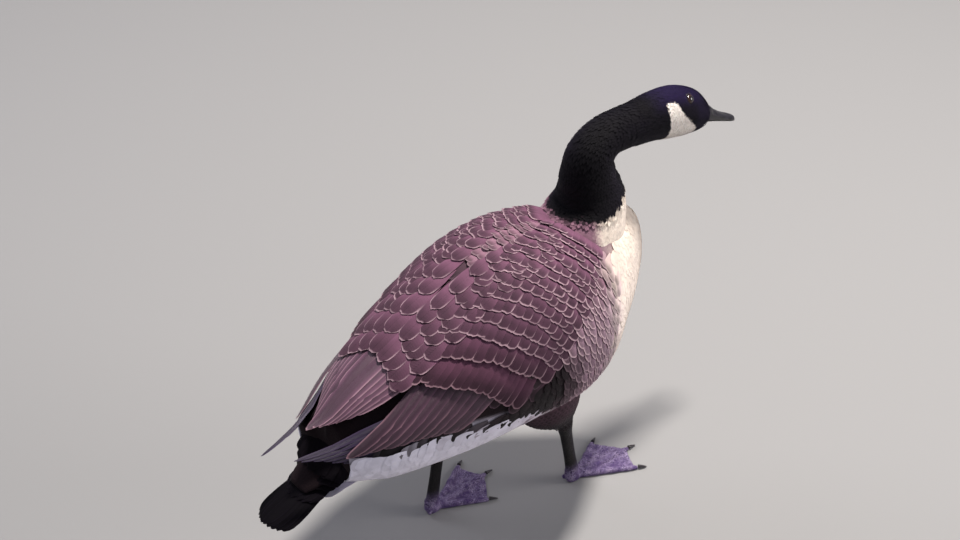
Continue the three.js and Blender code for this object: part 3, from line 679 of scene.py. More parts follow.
bodyRoots = featherRoots(body, body.low + 4, body.high - 1, bodyPattern)
ripple = 2.2 * np.sin(bodyRoots[:, 1] * 0.12 + bodyRoots[:, 0] * 0.05)
bodyRoots[:, 0] += random.normal(0, 0.8, len(bodyRoots)) + ripple
bodyRoots[:, 1] += random.normal(0, 0.35, len(bodyRoots))
bodyRoots[:, 0] = np.clip(bodyRoots[:, 0], body.low, body.high)
places = body.place(bodyRoots[:, 0], bodyRoots[:, 1])
stations, rounds = places[:, 0], bodyRoots[:, 1]
d = np.abs(rounds)
upper, lower = (np.interp(stations, edgeStations, edge) for edge in (upperEdge, lowerEdge))
hidden = (stations < 112) & (d > np.where(stations > -4, 24, upper + 5)) & (d < lower - 5)
hidden |= (stations < -4) & (stations > -150) & (d < 60)
hidden |= insideNeck(places, -6)
bodyRoots, stations, rounds, d, lower = (x[~hidden] for x in (bodyRoots, stations, rounds, d, lower))
size = bodyRoots[:, 2] * random.uniform(0.9, 1.1, len(bodyRoots))
onBack = 1 - ease(24, 50, d)
size = size * (1 - 0.25 * onBack)
length = bodyFeathers["length"] * size
width = (bodyFeathers["width"] + bodyFeathers["flank width"] * ease(45, 70, d)) * size
fall = ease(10, 40, d) * (1 - ease(120, 150, d)) * ease(-150, 20, stations)
fall = np.radians(bodyFeathers["fall"]) * fall
scale = body.scale(bodyRoots[:, 0], rounds)
tips = np.stack([bodyRoots[:, 0] - length * np.cos(fall),
                 rounds + np.sign(rounds) * length * np.sin(fall) / scale], -1)
nearFront = ease(0, 40, stations) * (1 - ease(130, 160, stations)) * ease(30, 50, d) * (1 - ease(100, 120, d))
tipLift = bodyFeathers["tip"] + bodyFeathers["front tip"] * nearFront
lifts = np.stack([np.full(len(size), bodyFeathers["root"] - skinBuild["body"]), tipLift], -1)
tint, brown = bodyMarkings(stations + random.normal(0, 4, len(size)), rounds)
pale = ease(0.3, 0.5, tint.mean(1))
lifts[:, 1] -= bodyFeathers["tucked tip"] * (stations < 40) * (d > lower - 6) * (1 - pale)
lifts[:, 1] -= bodyFeathers["tucked tip"] * wingCover(stations, rounds, 5) * (d < 30)
lifts += np.stack([skinBuild["pale"] * pale, -0.9 * pale], -1)
rearBed = bodyFeathers["rear bed"] * ease(-110, -180, stations)
lifts -= (rearBed * wingCover(stations, rounds, 9))[:, None]
shade = 1 + random.uniform(-0.09, 0.09, (len(tint), 1))
edge = blend(np.clip(tint * 1.1 + 0.004, 0, 1), colours["stripe"], brown)
alpha = (0.1 + 0.9 * brown) * (1 - 0.7 * onBack)
full, rimmed = withAlpha(np.clip(tint * shade, 0, 1), 1), withAlpha(edge, alpha)
darker = (brown > 0.35) | (pale < 0.3)
for name, group, look, shape, crown, roll, slot in (
        ("body_brown_feathers", darker, brownFeather, "bar", 0.7, 0.3, "brown_feather"),
        ("body_pale_feathers", ~darker, paleFeather, "round", 0.22, 0.12, "breast_feather")):
    coat = Coat(name, (body.low, body.high))
    coat.add(body, bodyRoots[group, :2], tips[group], width[group], lifts[group], shape, 5,
             full[group], rimmed[group], crown=crown, roll=roll)
    coat.write(look, slot)


# Neck and head feathers

eyeSides = (("left", 1), ("right", -1))
eyeAt = {name: np.array([282, sign * 10.8 - 1.8, 438.5]) for name, sign in eyeSides}
eyeOut = {name: unit(np.array([0.2, sign * 0.8, 0.55])) for name, sign in eyeSides}
bill = tubeSurface(billRows)
neckFeathers = {  # millimetres, with how much less on the head; bare rings round eye and bill
    "across": [3.5, 1.6], "stride": [3.6, 1.7], "length": [10.5, 5.7], "width": [5.2, 2.5],
    "tip": [0.1, 0.25], "root": 0.2, "collar lifts": [-2.1, -1.5], "round the eye": 8.2, "round the bill": 0.6,
}


def neckSize(key, head):
    size, less = neckFeathers[key]
    return size - less * head


def neckPattern(u):
    head = ease(neck.arcAt(196), neck.arcAt(262), u)
    return neckSize("across", head), neckSize("stride", head), head


neckRoots = featherRoots(neck, neck.arcAt(126) - 34, neck.high - 3, neckPattern)
neckRoots[:, 0] += random.normal(0, 0.4, len(neckRoots))
neckRoots[:, 1] += random.normal(0, 0.7, len(neckRoots))
places = neck.place(neckRoots[:, 0], neckRoots[:, 1])


def insideBody(points, grow):
    station = points[:, 0]
    dense = smoothRows(bodyRows, np.linspace(0, 1, 1600))
    half, back, belly = read(dense[:, 0], dense[:, 1:], station)
    middle = bodyMiddle(back, belly)
    reach = np.where(points[:, 2] > middle, back - middle, middle - belly) + grow
    share = (np.abs(points[:, 1]) / (half + grow)) ** 2 + ((points[:, 2] - middle) / reach) ** 2
    return share < 1


drop = insideBody(places, -5)
for at in eyeAt.values():
    drop |= np.linalg.norm(places - at, axis=1) < neckFeathers["round the eye"]
billCentre, billReach = bill.spine
away = np.linalg.norm(places[:, None, :] - billCentre[None, ::10, :], axis=2) - billReach[None, ::10]
drop |= away.min(1) < neckFeathers["round the bill"]
neckRoots, places = neckRoots[~drop], places[~drop]
head = neckRoots[:, 2]
spread = random.uniform(0.85, 1.15, len(head))
length, width = neckSize("length", head) * spread, neckSize("width", head) * spread
tips = np.stack([neckRoots[:, 0] - length, neckRoots[:, 1]], -1)
rootLift = neckFeathers["root"] - skinBuild["neck"] + (skinBuild["neck"] - skinBuild["head"]) * head
lifts = np.stack([rootLift, neckSize("tip", head)], -1)
tint = neckMarkings(places, 0.5)
tint = np.clip(tint * (1 + random.uniform(-0.12, 0.12, (len(tint), 1))), 0, 1)
edge = np.clip(tint * 1.3 + 0.004, 0, 1)
low = places[:, 2] < neckBorder(places[:, 0]) - 3
lifts[low] = neckFeathers["collar lifts"]
for name, group, look, slot, grow, rim in (
        ("neck_and_head_feathers", ~low, blackFeather, "black_feather", 1, 0.5),
        ("neck_base_feathers", low, paleFeather, "breast_feather", 1.7, 0.1)):
    coat = Coat(name, (neck.low, neck.high))
    full, rimmed = withAlpha(tint[group], 1), withAlpha(edge[group], rim)
    coat.add(neck, neckRoots[group, :2], tips[group], width[group] * grow, lifts[group], "tiny", 3,
             full, rimmed, crown=(0.5 - 0.25 * head[group]) / grow ** 2, roll=0.12 / grow)
    coat.write(look, slot)


# Folded wings

def between(a, b, share):
    return np.array(a, float) * (1 - share[:, None]) + np.array(b, float) * share[:, None]


wingTiers = [  # first and last feather: root station and degrees, tip station and degrees
    {"kind": "primary", "count": 6, "layer": 0.2, "width": [17, 15], "lifts": [-9, -5.6], "look": "flight",
     "first": [-114, 82, -246, 77], "last": [-138, 58, -290, 38],
     "tint": "#2d1d3c", "edge": "#4f3c60", "rim": 0.7},
    {"kind": "secondary", "count": 10, "layer": 0.12, "width": [19, 18], "lifts": [-6, -2.2],
     "look": "flight", "first": [-46, 74, -116, 86], "last": [-136, 40, -222, 68],
     "tint": "#4e3042", "edge": "#8d6874", "rim": 1.0},
    {"kind": "greater covert", "count": 16, "width": [18, 20], "lifts": [-4.6, -0.7], "look": "brown",
     "first": [-6, 75, -46, 91], "last": [-92, 20, -150, 33],
     "tint": "#533243", "edge": "#ab8791", "rim": 0.95},
    {"kind": "median covert", "count": 13, "width": [20, 22], "lifts": [-4.6, -0.1], "look": "brown",
     "first": [26, 67, -9, 86], "last": [-60, 18, -112, 31],
     "tint": "#5b384b", "edge": "#b3929b", "rim": 1.0},
]
lesserCount = 12
for number in range(lesserCount):
    share = number / (lesserCount - 1)
    low = [5 + 103 * share, 82 - 42 * share]
    high = [-93 + 168 * share ** 0.9, 22 - 17 * share]
    length, width = 48 - 26 * share, 20 - 7 * share
    wingTiers.append({
        "kind": "lesser covert", "count": int(15 - 6 * share), "width": [width, width + 2],
        "lifts": [-4.2, 0.1 + 0.9 * share], "look": "brown",
        "first": [low[0] + length * 0.84, low[1] - length * 0.36, *low],
        "last": [high[0] + length * 0.95, high[1] - length * 0.2, *high],
        "tint": "#664256", "edge": "#bb9ba5", "rim": 1.0})
wingTiers.append({
    "kind": "tertial", "count": 6, "layer": 0.45, "width": [23, 26], "lifts": [-6, -2.4], "look": "flight",
    "first": [-104, 35, -200, 26], "last": [-112, 7, -238, 2],
    "tint": "#5d3c4f", "edge": "#a98390", "rim": 1.0})
for number, station in enumerate([-156, -131, -107, -84, -61, -38, -16, 6, 27, 47, 66]):
    share = number / 10
    length = 64 - 34 * share
    wingTiers.append({
        "kind": "scapular", "count": 4 if number < 8 else 3, "width": [29 - 13 * share, 27 - 12 * share],
        "lifts": [-4.0, 0.5 + 0.04 * number], "look": "brown",
        "first": [station - 6 + length, 27 - 4 * share, station - 6, 31 - 9 * share],
        "last": [station + 5 + length, 4 + 5 * share, station + 5, 5 + 6 * share],
        "tint": "#6a4559", "edge": "#bf9fa9", "rim": 0.95 - 0.45 * share})
for number in range(10):  # short feathers deeper in the wing, seen only between the others
    station = -128 + 24 * number
    reach = np.interp(station, edgeStations, lowerEdge)
    wingTiers.insert(0, {
        "kind": "under covert", "count": 12, "width": [21, 21], "look": "brown",
        "lifts": [-8.5, -6.2] if station < -40 else [-6, -3],
        "first": [station + 24, reach * 0.9 - 4, station - 16, reach * 0.94],
        "last": [station + 24, 4, station - 16, 5],
        "tint": "#45303a", "edge": "#8f7080", "rim": 0.3})
rightPrimariesCut = 22  # the photo's near wing shows shorter tips
wingSpan = (-300, 130)

for name, side in (("left", 1), ("right", -1)):
    coats = {"brown": Coat(f"wing_{name}_coverts", wingSpan),
             "flight": Coat(f"wing_{name}_flight_feathers", wingSpan)}
    for tier in wingTiers:
        count = tier["count"]
        share = np.linspace(0, 1, count) + random.normal(0, 0.12 / count, count)
        roots = between(tier["first"][:2], tier["last"][:2], share)
        tips = between(tier["first"][2:], tier["last"][2:], share)
        tips[:, 0] += random.normal(0, 1.1, count)
        tips[:, 0] += 2.2 * np.sin(np.arange(count) * random.uniform(0.5, 0.9) + random.uniform(0, 6))
        width = between([tier["width"][0]], [tier["width"][1]], share)[:, 0]
        width = width * random.uniform(0.93, 1.07, count)
        if side < 0 and tier["kind"] == "primary":
            tips[:, 0] += rightPrimariesCut
        roots[:, 1] *= side
        tips[:, 1] *= side
        long = tier["look"] == "flight"
        layers = tier.get("layer", 0) * np.arange(count)[:, None]
        shape = "long" if long else "round" if tier["kind"] == "scapular" else "bar"
        tint = tones(tier["tint"], count, 0.1)
        edge = tones(tier["edge"], count, 0.08, tier["rim"] * random.uniform(0.55, 1.0, (count, 1)))
        coats[tier["look"]].add(wing, roots, tips, width, tier["lifts"] + layers, shape, 7, tint, edge,
                                crown=1.2, roll=1.5 if long else 0.9)
    coats["flight"].write(flightFeather, "brown_feather")
    coverts = coats["brown"].write(brownFeather, "brown_feather")
    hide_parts(f"wing_{name}")


# Tail: a closed fan of stiff black feathers, dark coverts over it and white ones under it

def sheetSurface(root, tip, arch):
    root, tip = np.array(root, float), np.array(tip, float)
    along = unit(tip - root)
    across = np.array([0, -1.0, 0])
    up = np.cross(along, across)

    def place(u, v):
        u, v = np.asarray(u, float)[..., None], np.asarray(v, float)[..., None]
        return root + along * u + across * v - up * (arch * v ** 2)

    return Surface(place, -40, 400)


fan = sheetSurface([-196, 0, 189], [-306, -5, 152], 0.004)
tailCoat = Coat("tail_feathers", (0, 120))
tailLayers = [  # count, root u, tip u, spread at the root and tip, width, rise, lift by order, colours
    (9, 4, 115, 12, 21, 19, 1.0, -0.75, "#0c090e", "#201a26"),
    (7, 0, 74, 13, 20, 18, 5.2, -0.6, "#0e0a10", "#221b27"),
    (6, -14, 50, 15, 20, 18, 9.0, -0.5, "#0f0b10", "#241c26"),
    (7, 10, 56, 20, 22, 19, 18.0, -0.6, "#100c11", "#241c26"),
    (7, 12, 50, 24, 24, 20, 30.0, -0.6, "#110c12", "#261d28"),
    (7, 12, 44, 27, 25, 21, 44.0, -0.6, "#120d13", "#261d28"),
]
for count, start, end, rootSpread, tipSpread, width, rise, layer, tone, rim in tailLayers:
    share = np.linspace(-1, 1, count)
    order = np.abs(share) * count / 2 * layer
    roots = np.stack([np.full(count, float(start)), share * rootSpread], -1)
    tips = np.stack([end - 9 * share ** 2, share * tipSpread], -1)
    lifts = np.stack([rise * 0.6 + order, rise * 0.35 + order], -1)
    tailCoat.add(fan, roots, tips, width, lifts, "long", 7, tones(tone, count, 0.15),
                 tones(rim, count, 0.1, 0.35), crown=0.9, roll=-0.5)
tail = tailCoat.write(blackVane, "tail_feather")
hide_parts("tail")

ventSheet = sheetSurface([-170, 0, 168], [-290, -4, 148], -0.006)
ventCoat = Coat("undertail_coverts", (0, 120))
count = 7
for number, (start, end, spread) in enumerate([(0, 40, 24), (14, 56, 20), (28, 72, 16)]):
    share = np.linspace(-1, 1, count)
    roots = np.stack([np.full(count, float(start)), share * spread], -1)
    tips = np.stack([end - 6 * share ** 2, share * spread * 0.9], -1)
    lifts = np.stack([np.full(count, -2.0), np.full(count, 2.0)], -1) - 1.2 * number
    ventCoat.add(ventSheet, roots, tips, 15, lifts, "round", 5, tones(colours["white"], count, 0.05),
                 tones(colours["white"], count, 0.03, 0.3), crown=-0.9, roll=0.2)
ventCoat.write(paleFeather, "breast_feather")


# Thighs: short feathers running down to the hock, darkened with painted shade of the body

thighFeathers = {"across": 4.8, "stride": 4.6, "length": 15, "width": 7, "shade": 0.6}

for name, leg in legs.items():
    thigh = tubeSurface(thighRows(leg))
    coat = Coat(f"thigh_{name}_feathers", (thigh.low, thigh.high))
    roots = featherRoots(thigh, thigh.low + 2, thigh.high - 8,
                         lambda u: (thighFeathers["across"], thighFeathers["stride"], 0))[:, :2]
    roots += random.normal(0, 0.5, roots.shape)
    places = thigh.place(roots[:, 0], roots[:, 1])
    shown = ~insideBody(places, -6)
    roots, places = roots[shown], places[shown]
    fine = 1 - 0.45 * ease(thigh.low, thigh.high, roots[:, 0])
    tips = np.stack([roots[:, 0] + thighFeathers["length"] * fine, roots[:, 1]], -1)
    # Painted shade: darkened brown high up, the shade colour lower down, and the shade factor over all
    tone = blend(colours["brown"] * 0.45, colours["shade"], ease(185, 140, places[:, 2]))
    tone = thighFeathers["shade"] * tone * (1 + random.uniform(-0.15, 0.15, (len(tone), 1)))
    full, rimmed = withAlpha(tone, 1), withAlpha(np.clip(tone * 1.8, 0, 1), 0.6)
    coat.add(thigh, roots, tips, thighFeathers["width"] * fine, [0.2, 1.8], "small", 3, full, rimmed,
             crown=0.5, roll=0.3)
    coat.write(brownFeather, "brown_feather")


# Eyes with their lids

def frameAt(out, forward):
    first = unit(forward - out * (forward @ out))
    return first, np.cross(out, first)


eyeShape = {"radius": 6.6, "lid radius": 6.5, "lid thickness": 1.25, "pupil": [24, 29], "iris": [44, 56]}
lidRings, lidSides = 56, 14
# Eye: dark brown iris with half-millimetre flecks round a black pupil, under a wet clear surface
eyeMaterial, add, position = material("wet_dark_eye")
flecks = add("Math", times, add("TexNoise", {}, position, Scale=1000 / 0.556, Detail=2.0), 0.5)
tint = add("Attribute", {"attribute_name": "tint"})
finish(eyeMaterial, Base_Color=add("Mix", mixing, flecks, i6=tint, i7=rgba("#0d0707")).outputs[2],
       Roughness=0.12, IOR=1.38, Coat_Weight=1.0, Coat_Roughness=0.02)

# Lids: bare black skin in wrinkles of about 0.7 mm, a little damp at the rim
lidMaterial, add, position = material("bare_lid_skin")
wrinkles = add("TexVoronoi", {}, position, Scale=1000 / 0.714)
colour = add("Mix", mixing, wrinkles, i6=rgba("#1d191f"), i7=rgba("#352f38"))
finish(lidMaterial, Base_Color=colour.outputs[2], Roughness=0.45,
       Normal=add("Bump", {}, Strength=0.5, Distance=0.0003, Height=wrinkles))

for name, at in eyeAt.items():
    out = eyeOut[name]
    forward, across = frameAt(out, np.array([1.0, 0, -0.42]))
    p = np.arange(40) * np.pi / 20
    ring = np.outer(np.cos(p), forward) + np.outer(np.sin(p), across)
    rings = [at + eyeShape["radius"] * (out * np.cos(a) + np.sin(a) * ring)
             for a in np.radians([10, 18, 24, 26, 30, 38, 46, 52, 60, 75, 95, 120, 150, 175])]
    points, triangles = tubeMesh(rings)
    ball = meshFrom(f"eye_ball_{name}", points, triangles)
    depth = np.degrees(np.arccos(np.clip(unit(points - at) @ out, -1, 1)))
    tone = blend(linear("#060405"), linear("#3a2013"), ease(*eyeShape["pupil"], depth))
    tone = blend(tone, linear("#0a0605"), ease(*eyeShape["iris"], depth))
    paint(ball.data, "tint", withAlpha(tone, 1))
    ball.data.materials.append(eyeMaterial)
    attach(ball, "root")
    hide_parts(f"eye_{name}")
    rings = []
    for p in np.arange(lidRings) * 2 * np.pi / lidRings:
        radial = np.cos(p) * forward * 1.06 + np.sin(p) * across * 0.93
        corner = 0.9 * np.abs(np.cos(p)) ** 6
        centre = at + out * (2.7 - 0.25 * np.abs(np.cos(p))) + radial * (eyeShape["lid radius"] + corner)
        thick = eyeShape["lid thickness"] + 0.12 * np.sin(9 * p) - 0.25 * corner
        q = np.arange(lidSides) * 2 * np.pi / lidSides
        rings.append(centre + thick * (np.outer(np.cos(q), unit(radial)) + np.outer(np.sin(q), out) * 1.1))
    rings = np.array(rings)
    i, j = np.meshgrid(np.arange(lidRings), np.arange(lidSides), indexing="ij")
    here, there = i * lidSides, (i + 1) % lidRings * lidSides
    a, b, c, e = here + j, here + (j + 1) % lidSides, there + (j + 1) % lidSides, there + j
    triangles = np.vstack([np.stack(corners, -1).reshape(-1, 3) for corners in ([a, b, c], [a, c, e])])
    if name == "left":
        triangles = triangles[:, ::-1]
    lid = meshFrom(f"eyelid_{name}", rings.reshape(-1, 3), triangles)
    lid.data.materials.append(lidMaterial)
    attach(lid, "root")
print("eyes made")


# Bill: upper and lower halves with nostrils, a nail at the tip and fine plates along the mouth

gape, mouthTip = np.array([304, -2.6, 402.6]), np.array([368, -4.8, 375.0])
billShape = {  # millimetres along the bill and degrees round it
    "nostril": [20.5, 3.6, 52, 13], "nostril depth": 1.5, "nail": [51, 54], "nail rise": 0.35,
    "plate": 2.1, "plate depth": 0.22, "plates end": 56, "groove": 0.5, "groove end": 48,
}


def billHalf(upperHalf):
    turn = np.linspace(-180, 180, 41) if upperHalf else np.linspace(0, 360, 41)
    alongAt, alongWide, roundAt, roundWide = billShape["nostril"]
    rings = []
    for at in np.linspace(bill.low - 1, bill.high + 1, 110):
        top, bottom = bill.place(np.array([at, at]), np.array([0.0, 180.0]))
        centre = top * 0.5 + bottom * 0.5
        points = bill.place(np.full(41, at), turn)
        share = (points[:, 0] - gape[0]) / (mouthTip[0] - gape[0])
        line = gape[2] + share * (mouthTip[2] - gape[2])
        if upperHalf:
            points[:, 2] = np.maximum(points[:, 2], line + 0.2)
            near = np.exp(-((at - alongAt) / alongWide) ** 2)
            near = near * np.exp(-((np.abs(turn) - roundAt) / roundWide) ** 2)
            points += unit(centre - points) * (billShape["nostril depth"] * near)[:, None]
            nail = ease(*billShape["nail"], at) * (1 - ease(38, 52, np.abs(turn)))
            points -= unit(centre - points) * (billShape["nail rise"] * nail)[:, None]
            low = ease(1.6, 0.2, points[:, 2] - line) * (at < billShape["plates end"])
            wave = billShape["plate depth"] * np.sin(at * 2 * np.pi / billShape["plate"])
            points[:, 1] += np.sign(points[:, 1] - centre[1]) * low * wave
        else:
            points[:, 2] = np.minimum(points[:, 2], line - 0.2)
            points[:, 1] = centre[1] + (points[:, 1] - centre[1]) * 0.95
            groove = np.exp(-((points[:, 1] - centre[1]) / 1.6) ** 2) * (points[:, 2] < line - 1)
            points[:, 2] += billShape["groove"] * groove * (at < billShape["groove end"])
        rings.append(points[:-1])
    return tubeMesh(rings)


# Bill: smooth black horn with a satin gloss, faint growth patches of 4 mm and grain of 0.6 mm
hornMaterial, add, position = material("black_bill_horn")
growth = add("TexNoise", {}, position, Scale=1000 / 3.85, Detail=4.0)
grain = add("TexNoise", {}, position, Scale=1000 / 0.625, Detail=3.0)
colour = add("Mix", mixing, add("MapRange", smooth, growth, 0.35, 0.75),
             i6=rgba("#121014"), i7=rgba("#29242d"))
finish(hornMaterial, Base_Color=colour.outputs[2], Roughness=add("Math", timesPlus, growth, 0.25, 0.2),
       Normal=add("Bump", {}, Strength=0.25, Distance=0.0003, Height=grain))
for name, isUpper in (("upper", True), ("lower", False)):
    half = meshFrom(f"bill_{name}_horn", *billHalf(isUpper), sharp=50)
    half.data.materials.append(hornMaterial)
    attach(half, "root")
    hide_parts(f"bill_{name}")
print("bill made")


# Legs and feet

def floorPoint(leg, length, degrees):
    turn = np.radians(leg["yaw"] + leg["side"] * degrees)
    return np.array([leg["heel"][0] + np.cos(turn) * length, leg["heel"][1] + np.sin(turn) * length])


def grounded(part, low=0.05):
    part[0][:, 2] = np.maximum(part[0][:, 2], low)
    return part


def sheetMesh(top, bottom):
    rows, columns = top.shape[:2]
    i, j = np.meshgrid(np.arange(rows - 1), np.arange(columns - 1), indexing="ij")
    a, b, c, e = (x.ravel() for x in (i * columns + j, i * columns + j + 1,
                                      (i + 1) * columns + j + 1, (i + 1) * columns + j))
    under = rows * columns
    faces = [np.stack(f, -1) for f in ((a, b, c), (a, c, e), (a + under, c + under, b + under),
                                       (a + under, e + under, c + under))]
    grid = np.arange(under).reshape(rows, columns)
    rim = np.concatenate([grid[0], grid[1:, -1], grid[-1, -2::-1], grid[-2:0:-1, 0]])
    following = np.roll(rim, -1)
    faces += [np.stack(f, -1) for f in ((following, rim, rim + under),
                                        (following, rim + under, following + under))]
    return np.vstack([top.reshape(-1, 3), bottom.reshape(-1, 3)]), np.vstack(faces)


toeShape = {"tip width": 6, "root height": 8, "tip height": 5.2, "knuckles": (0.3, 0.58, 0.8), "swell": 0.16}
webShape = {"rows": 22, "columns": 15, "reach": 0.94, "bay": 0.03, "fold": 0.35, "top": 3.1, "sag": 0.9, "sole": 0.9}


def toeTube(leg, length, degrees, width):
    rows = []
    for t in np.linspace(-0.03, 1, 26):
        swell = 1 + toeShape["swell"] * sum(np.exp(-((t - k) / 0.05) ** 2) for k in toeShape["knuckles"])
        half = (width + (toeShape["tip width"] - width) * t) / 2 * swell * (1 - 0.45 * ease(0.93, 1, t))
        height = toeShape["root height"] + (toeShape["tip height"] - toeShape["root height"]) * t
        height = height * swell * (1 - 0.35 * ease(0.93, 1, t))
        x, y = floorPoint(leg, length * t, degrees)
        rows.append([x, y, height * 0.42, half, height * 0.56, height * 0.44])
    return grounded(rowTube(rows, 60, 16))


def webSheet(leg, first, second):
    top, bottom = np.zeros((2, webShape["rows"], webShape["columns"], 3))
    for i, r in enumerate(np.linspace(0.04, 1, webShape["rows"])):
        for j, q in enumerate(np.linspace(0, 1, webShape["columns"])):
            bay = 1 - webShape["bay"] * np.sin(np.pi * q) ** 1.2
            reach = (first[0] + (second[0] - first[0]) * q) * webShape["reach"]
            degrees = first[1] + (second[1] - first[1]) * q
            x, y = floorPoint(leg, reach * r * (1 - (1 - bay) * r), degrees)
            fold = webShape["fold"] * np.sin(q * 26 + 3 * r) * np.sin(np.pi * q) * r
            top[i, j] = [x, y, webShape["top"] - webShape["sag"] * np.sin(np.pi * q) * r + fold]
            bottom[i, j] = [x, y, webShape["sole"]]
    return sheetMesh(top, bottom)


def footParts(leg):
    ankle = np.array([leg["heel"][0] - 8, leg["heel"][1], ankleHeight], float)
    hock, knee = np.array(leg["hock"], float), np.array(leg["knee"], float)
    shank = []
    for t, half, reach in [(-0.16, 6, 7), (0, 8, 9.8), (0.1, 7, 9), (0.2, 6, 8.1), (0.4, 5.3, 7.8),
                           (0.6, 5.1, 7.7), (0.85, 5.6, 8.2), (1, 6.6, 8.8), (1.12, 6.9, 9)]:
        at = hock + (ankle - hock) * t if t >= 0 else hock + (knee - hock) * -t
        shank.append([*at, half, reach, reach])
    x, y = leg["heel"][0] - 6, leg["heel"][1]
    knob = [[x - 3, y, ankleHeight + 6, 6.6, 9, 9], [x - 2, y, 9, 7.2, 9.6, 9.6],
            [x + 1, y, 4, 6.8, 10.4, 8.6], [x + 2, y, 0.3, 5.8, 8.6, 7.6]]
    back, root = floorPoint(leg, -20, 14), floorPoint(leg, -3, 0)
    hind = [[*root, 12, 3.2, 4, 4], [*((root + back) / 2), 9, 3.2, 3.3, 3.2], [*back, 5, 2.1, 2.3, 2.2]]
    inner, middle, outer = toes.values()
    parts = [rowTube(shank, 60, 20), grounded(rowTube(knob, 24, 20)), grounded(rowTube(hind, 18, 14))]
    parts += [toeTube(leg, *toe) for toe in (inner, middle, outer)]
    return parts + [webSheet(leg, inner, middle), webSheet(leg, middle, outer)]


# Leg and foot skin: black on the shank; on the feet a painted violet grey sheen with pale painted highlights; plates
# of 2 mm on shank and toes, creases of 8 mm in the web
footMaterial, add, position = material("scaled_leg_skin")
cells = add("TexVoronoi", {"feature": "DISTANCE_TO_EDGE"}, position, Scale=1000 / 1.923)
creases = add("TexNoise", {}, position, Scale=1000 / 8.33, Detail=5.0)
plates = add("MapRange", smooth, cells, 0.02, 0.16)
height = add("SeparateXYZ", {}, position).outputs[2]
# Painted sheen: the feet's violet grey, with pale painted highlights where the crease noise is high
wearAndSheen = add("MapRange", smooth, creases, 0.3, 0.7)
colour = add("Mix", mixing, wearAndSheen, i6=rgba("#5c4679"), i7=rgba("#b09fc0")).outputs[2]
colour = add("Mix", mixing, plates, i6=rgba("#43335c"), i7=colour).outputs[2]
# Black shank above the painted sheen of the feet
blackShankOverSheen = add("MapRange", smooth, height, 0.012, 0.034)
colour = add("Mix", mixing, blackShankOverSheen, i6=colour, i7=rgba("#120e10")).outputs[2]
relief = add("Math", plus, plates, add("Math", times, creases, 0.6))
finish(footMaterial, Base_Color=colour, Roughness=add("Math", timesPlus, creases, 0.25, 0.38),
       Normal=add("Bump", {}, Strength=0.6, Distance=0.0006, Height=relief), Specular_IOR_Level=0.25,
       Subsurface_Weight=0.08, Subsurface_Radius=(0.004, 0.002, 0.003))

# Claws: dark horn with a grain of about 1 mm, smooth
clawMaterial, add, position = material("dark_claw_horn")
grain = add("TexNoise", {}, position, Scale=1000 / 1.11, Detail=3.0)
colour = add("Mix", mixing, grain, i6=rgba("#1d181d"), i7=rgba("#3f383c"))
finish(clawMaterial, Base_Color=colour.outputs[2], Roughness=add("Math", timesPlus, grain, 0.2, 0.25))

footBuild = {"voxel": 0.8, "smoothing": 3, "lowest": 0.00002}
clawShape = {"set back": 2, "reach": 13, "radius": 2.3, "height": 3.4, "drop": 2.4}

for name, leg in legs.items():
    foot = fused(f"leg_and_foot_{name}", footParts(leg), footBuild["voxel"], footBuild["smoothing"])
    for vertex in foot.data.vertices:
        vertex.co.z = max(vertex.co.z, footBuild["lowest"])  # the sole stays on the floor
    foot.data.materials.append(footMaterial)
    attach(foot, "root")
    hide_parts(f"shank_{name}", f"foot_{name}")
    for toeName, (length, degrees, width) in toes.items():
        rows = []
        for t in np.linspace(0, 1, 8):
            x, y = floorPoint(leg, length - clawShape["set back"] + clawShape["reach"] * t, degrees)
            size = clawShape["radius"] * (1 - t) ** 0.7 + 0.25
            height = clawShape["height"] - clawShape["drop"] * t ** 1.6
            rows.append([x, y, height, size, size * 1.05, size * 0.8])
        claw = meshFrom(f"claw_horn_{name}_{toeName}", *grounded(rowTube(rows, 24, 16), 0.1))
        claw.data.materials.append(clawMaterial)
        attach(claw, "root")
        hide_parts(f"claw_{name}_{toeName}")
    print("foot", name, len(foot.data.polygons), "faces")


# Floor, light and camera

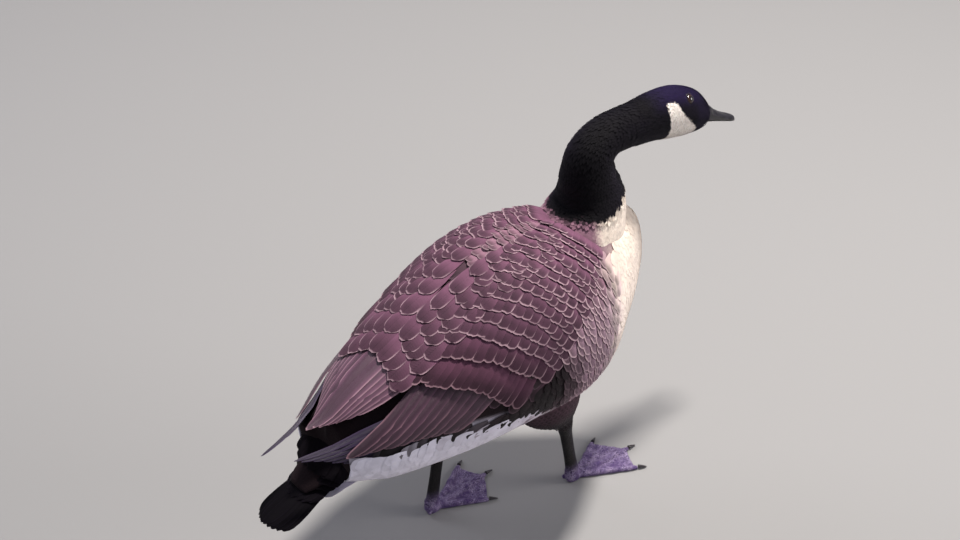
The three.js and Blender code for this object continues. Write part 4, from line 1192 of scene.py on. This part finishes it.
floorReach = 30
floorMesh = bpy.data.meshes.new("floor")
floorMesh.from_pydata([(x * floorReach, y * floorReach, 0) for x, y in ((-1, -1), (1, -1), (1, 1), (-1, 1))],
                      [], [(0, 1, 2, 3)])
floor = linked("floor", floorMesh)
# Floor: plain matt plaster in a pale warm grey, so that only the bird draws the eye
floorMaterial, add, position = material("plain_pale_floor")
finish(floorMaterial, Base_Color=rgba("#9b9a99"), Roughness=0.85)
floorMesh.materials.append(floorMaterial)

world = bpy.data.worlds.new("studio")
bpy.context.scene.world = world
world.use_nodes = True
world.node_tree.nodes["Background"].inputs[0].default_value = (0.85, 0.88, 1.0, 1)
world.node_tree.nodes["Background"].inputs[1].default_value = 0.33

lamps = [  # name, place, aim, size, power, colour
    ("key", (0.8, 0.05, 2.9), (0, 0, 0.22), 0.35, 108, (1, 0.95, 0.9)),
    ("fill", (1.9, -1.6, 1.2), (0, 0, 0.25), 1.2, 26, (1, 0.95, 0.95)),
    ("rim", (-0.6, 1.9, 1.7), (0, 0, 0.25), 1.2, 10, (0.9, 0.88, 1)),
]
for name, place, aim, size, power, colour in lamps:
    data = bpy.data.lights.new(name, "AREA")
    data.shape = "DISK"
    data.size = size
    data.energy = power
    data.color = colour
    lamp = linked(name, data)
    lamp.location = place
    lamp.rotation_mode = "QUATERNION"
    lamp.rotation_quaternion = (Vector(aim) - Vector(place)).to_track_quat("-Z", "Y")

shot = {  # metres, with the directions behind the camera and to its right
    "place": (-1.173, -1.353, 1.667), "lens": 78,
    "back": (-0.513, -0.612, 0.602), "right": (0.766, -0.643, 0),
}
cameraData = bpy.data.cameras.new("camera")
cameraData.sensor_width = 36
cameraData.lens = shot["lens"]
cameraData.clip_start = 0.05
cameraData.clip_end = 50
camera = linked("camera", cameraData)
back, right = Vector(shot["back"]).normalized(), Vector(shot["right"]).normalized()
turn = Matrix((right, back.cross(right), back)).transposed().to_4x4()
camera.matrix_world = Matrix.Translation(shot["place"]) @ turn
bpy.context.scene.camera = camera
bpy.context.scene.view_settings.view_transform = "Standard"

print("scene made")
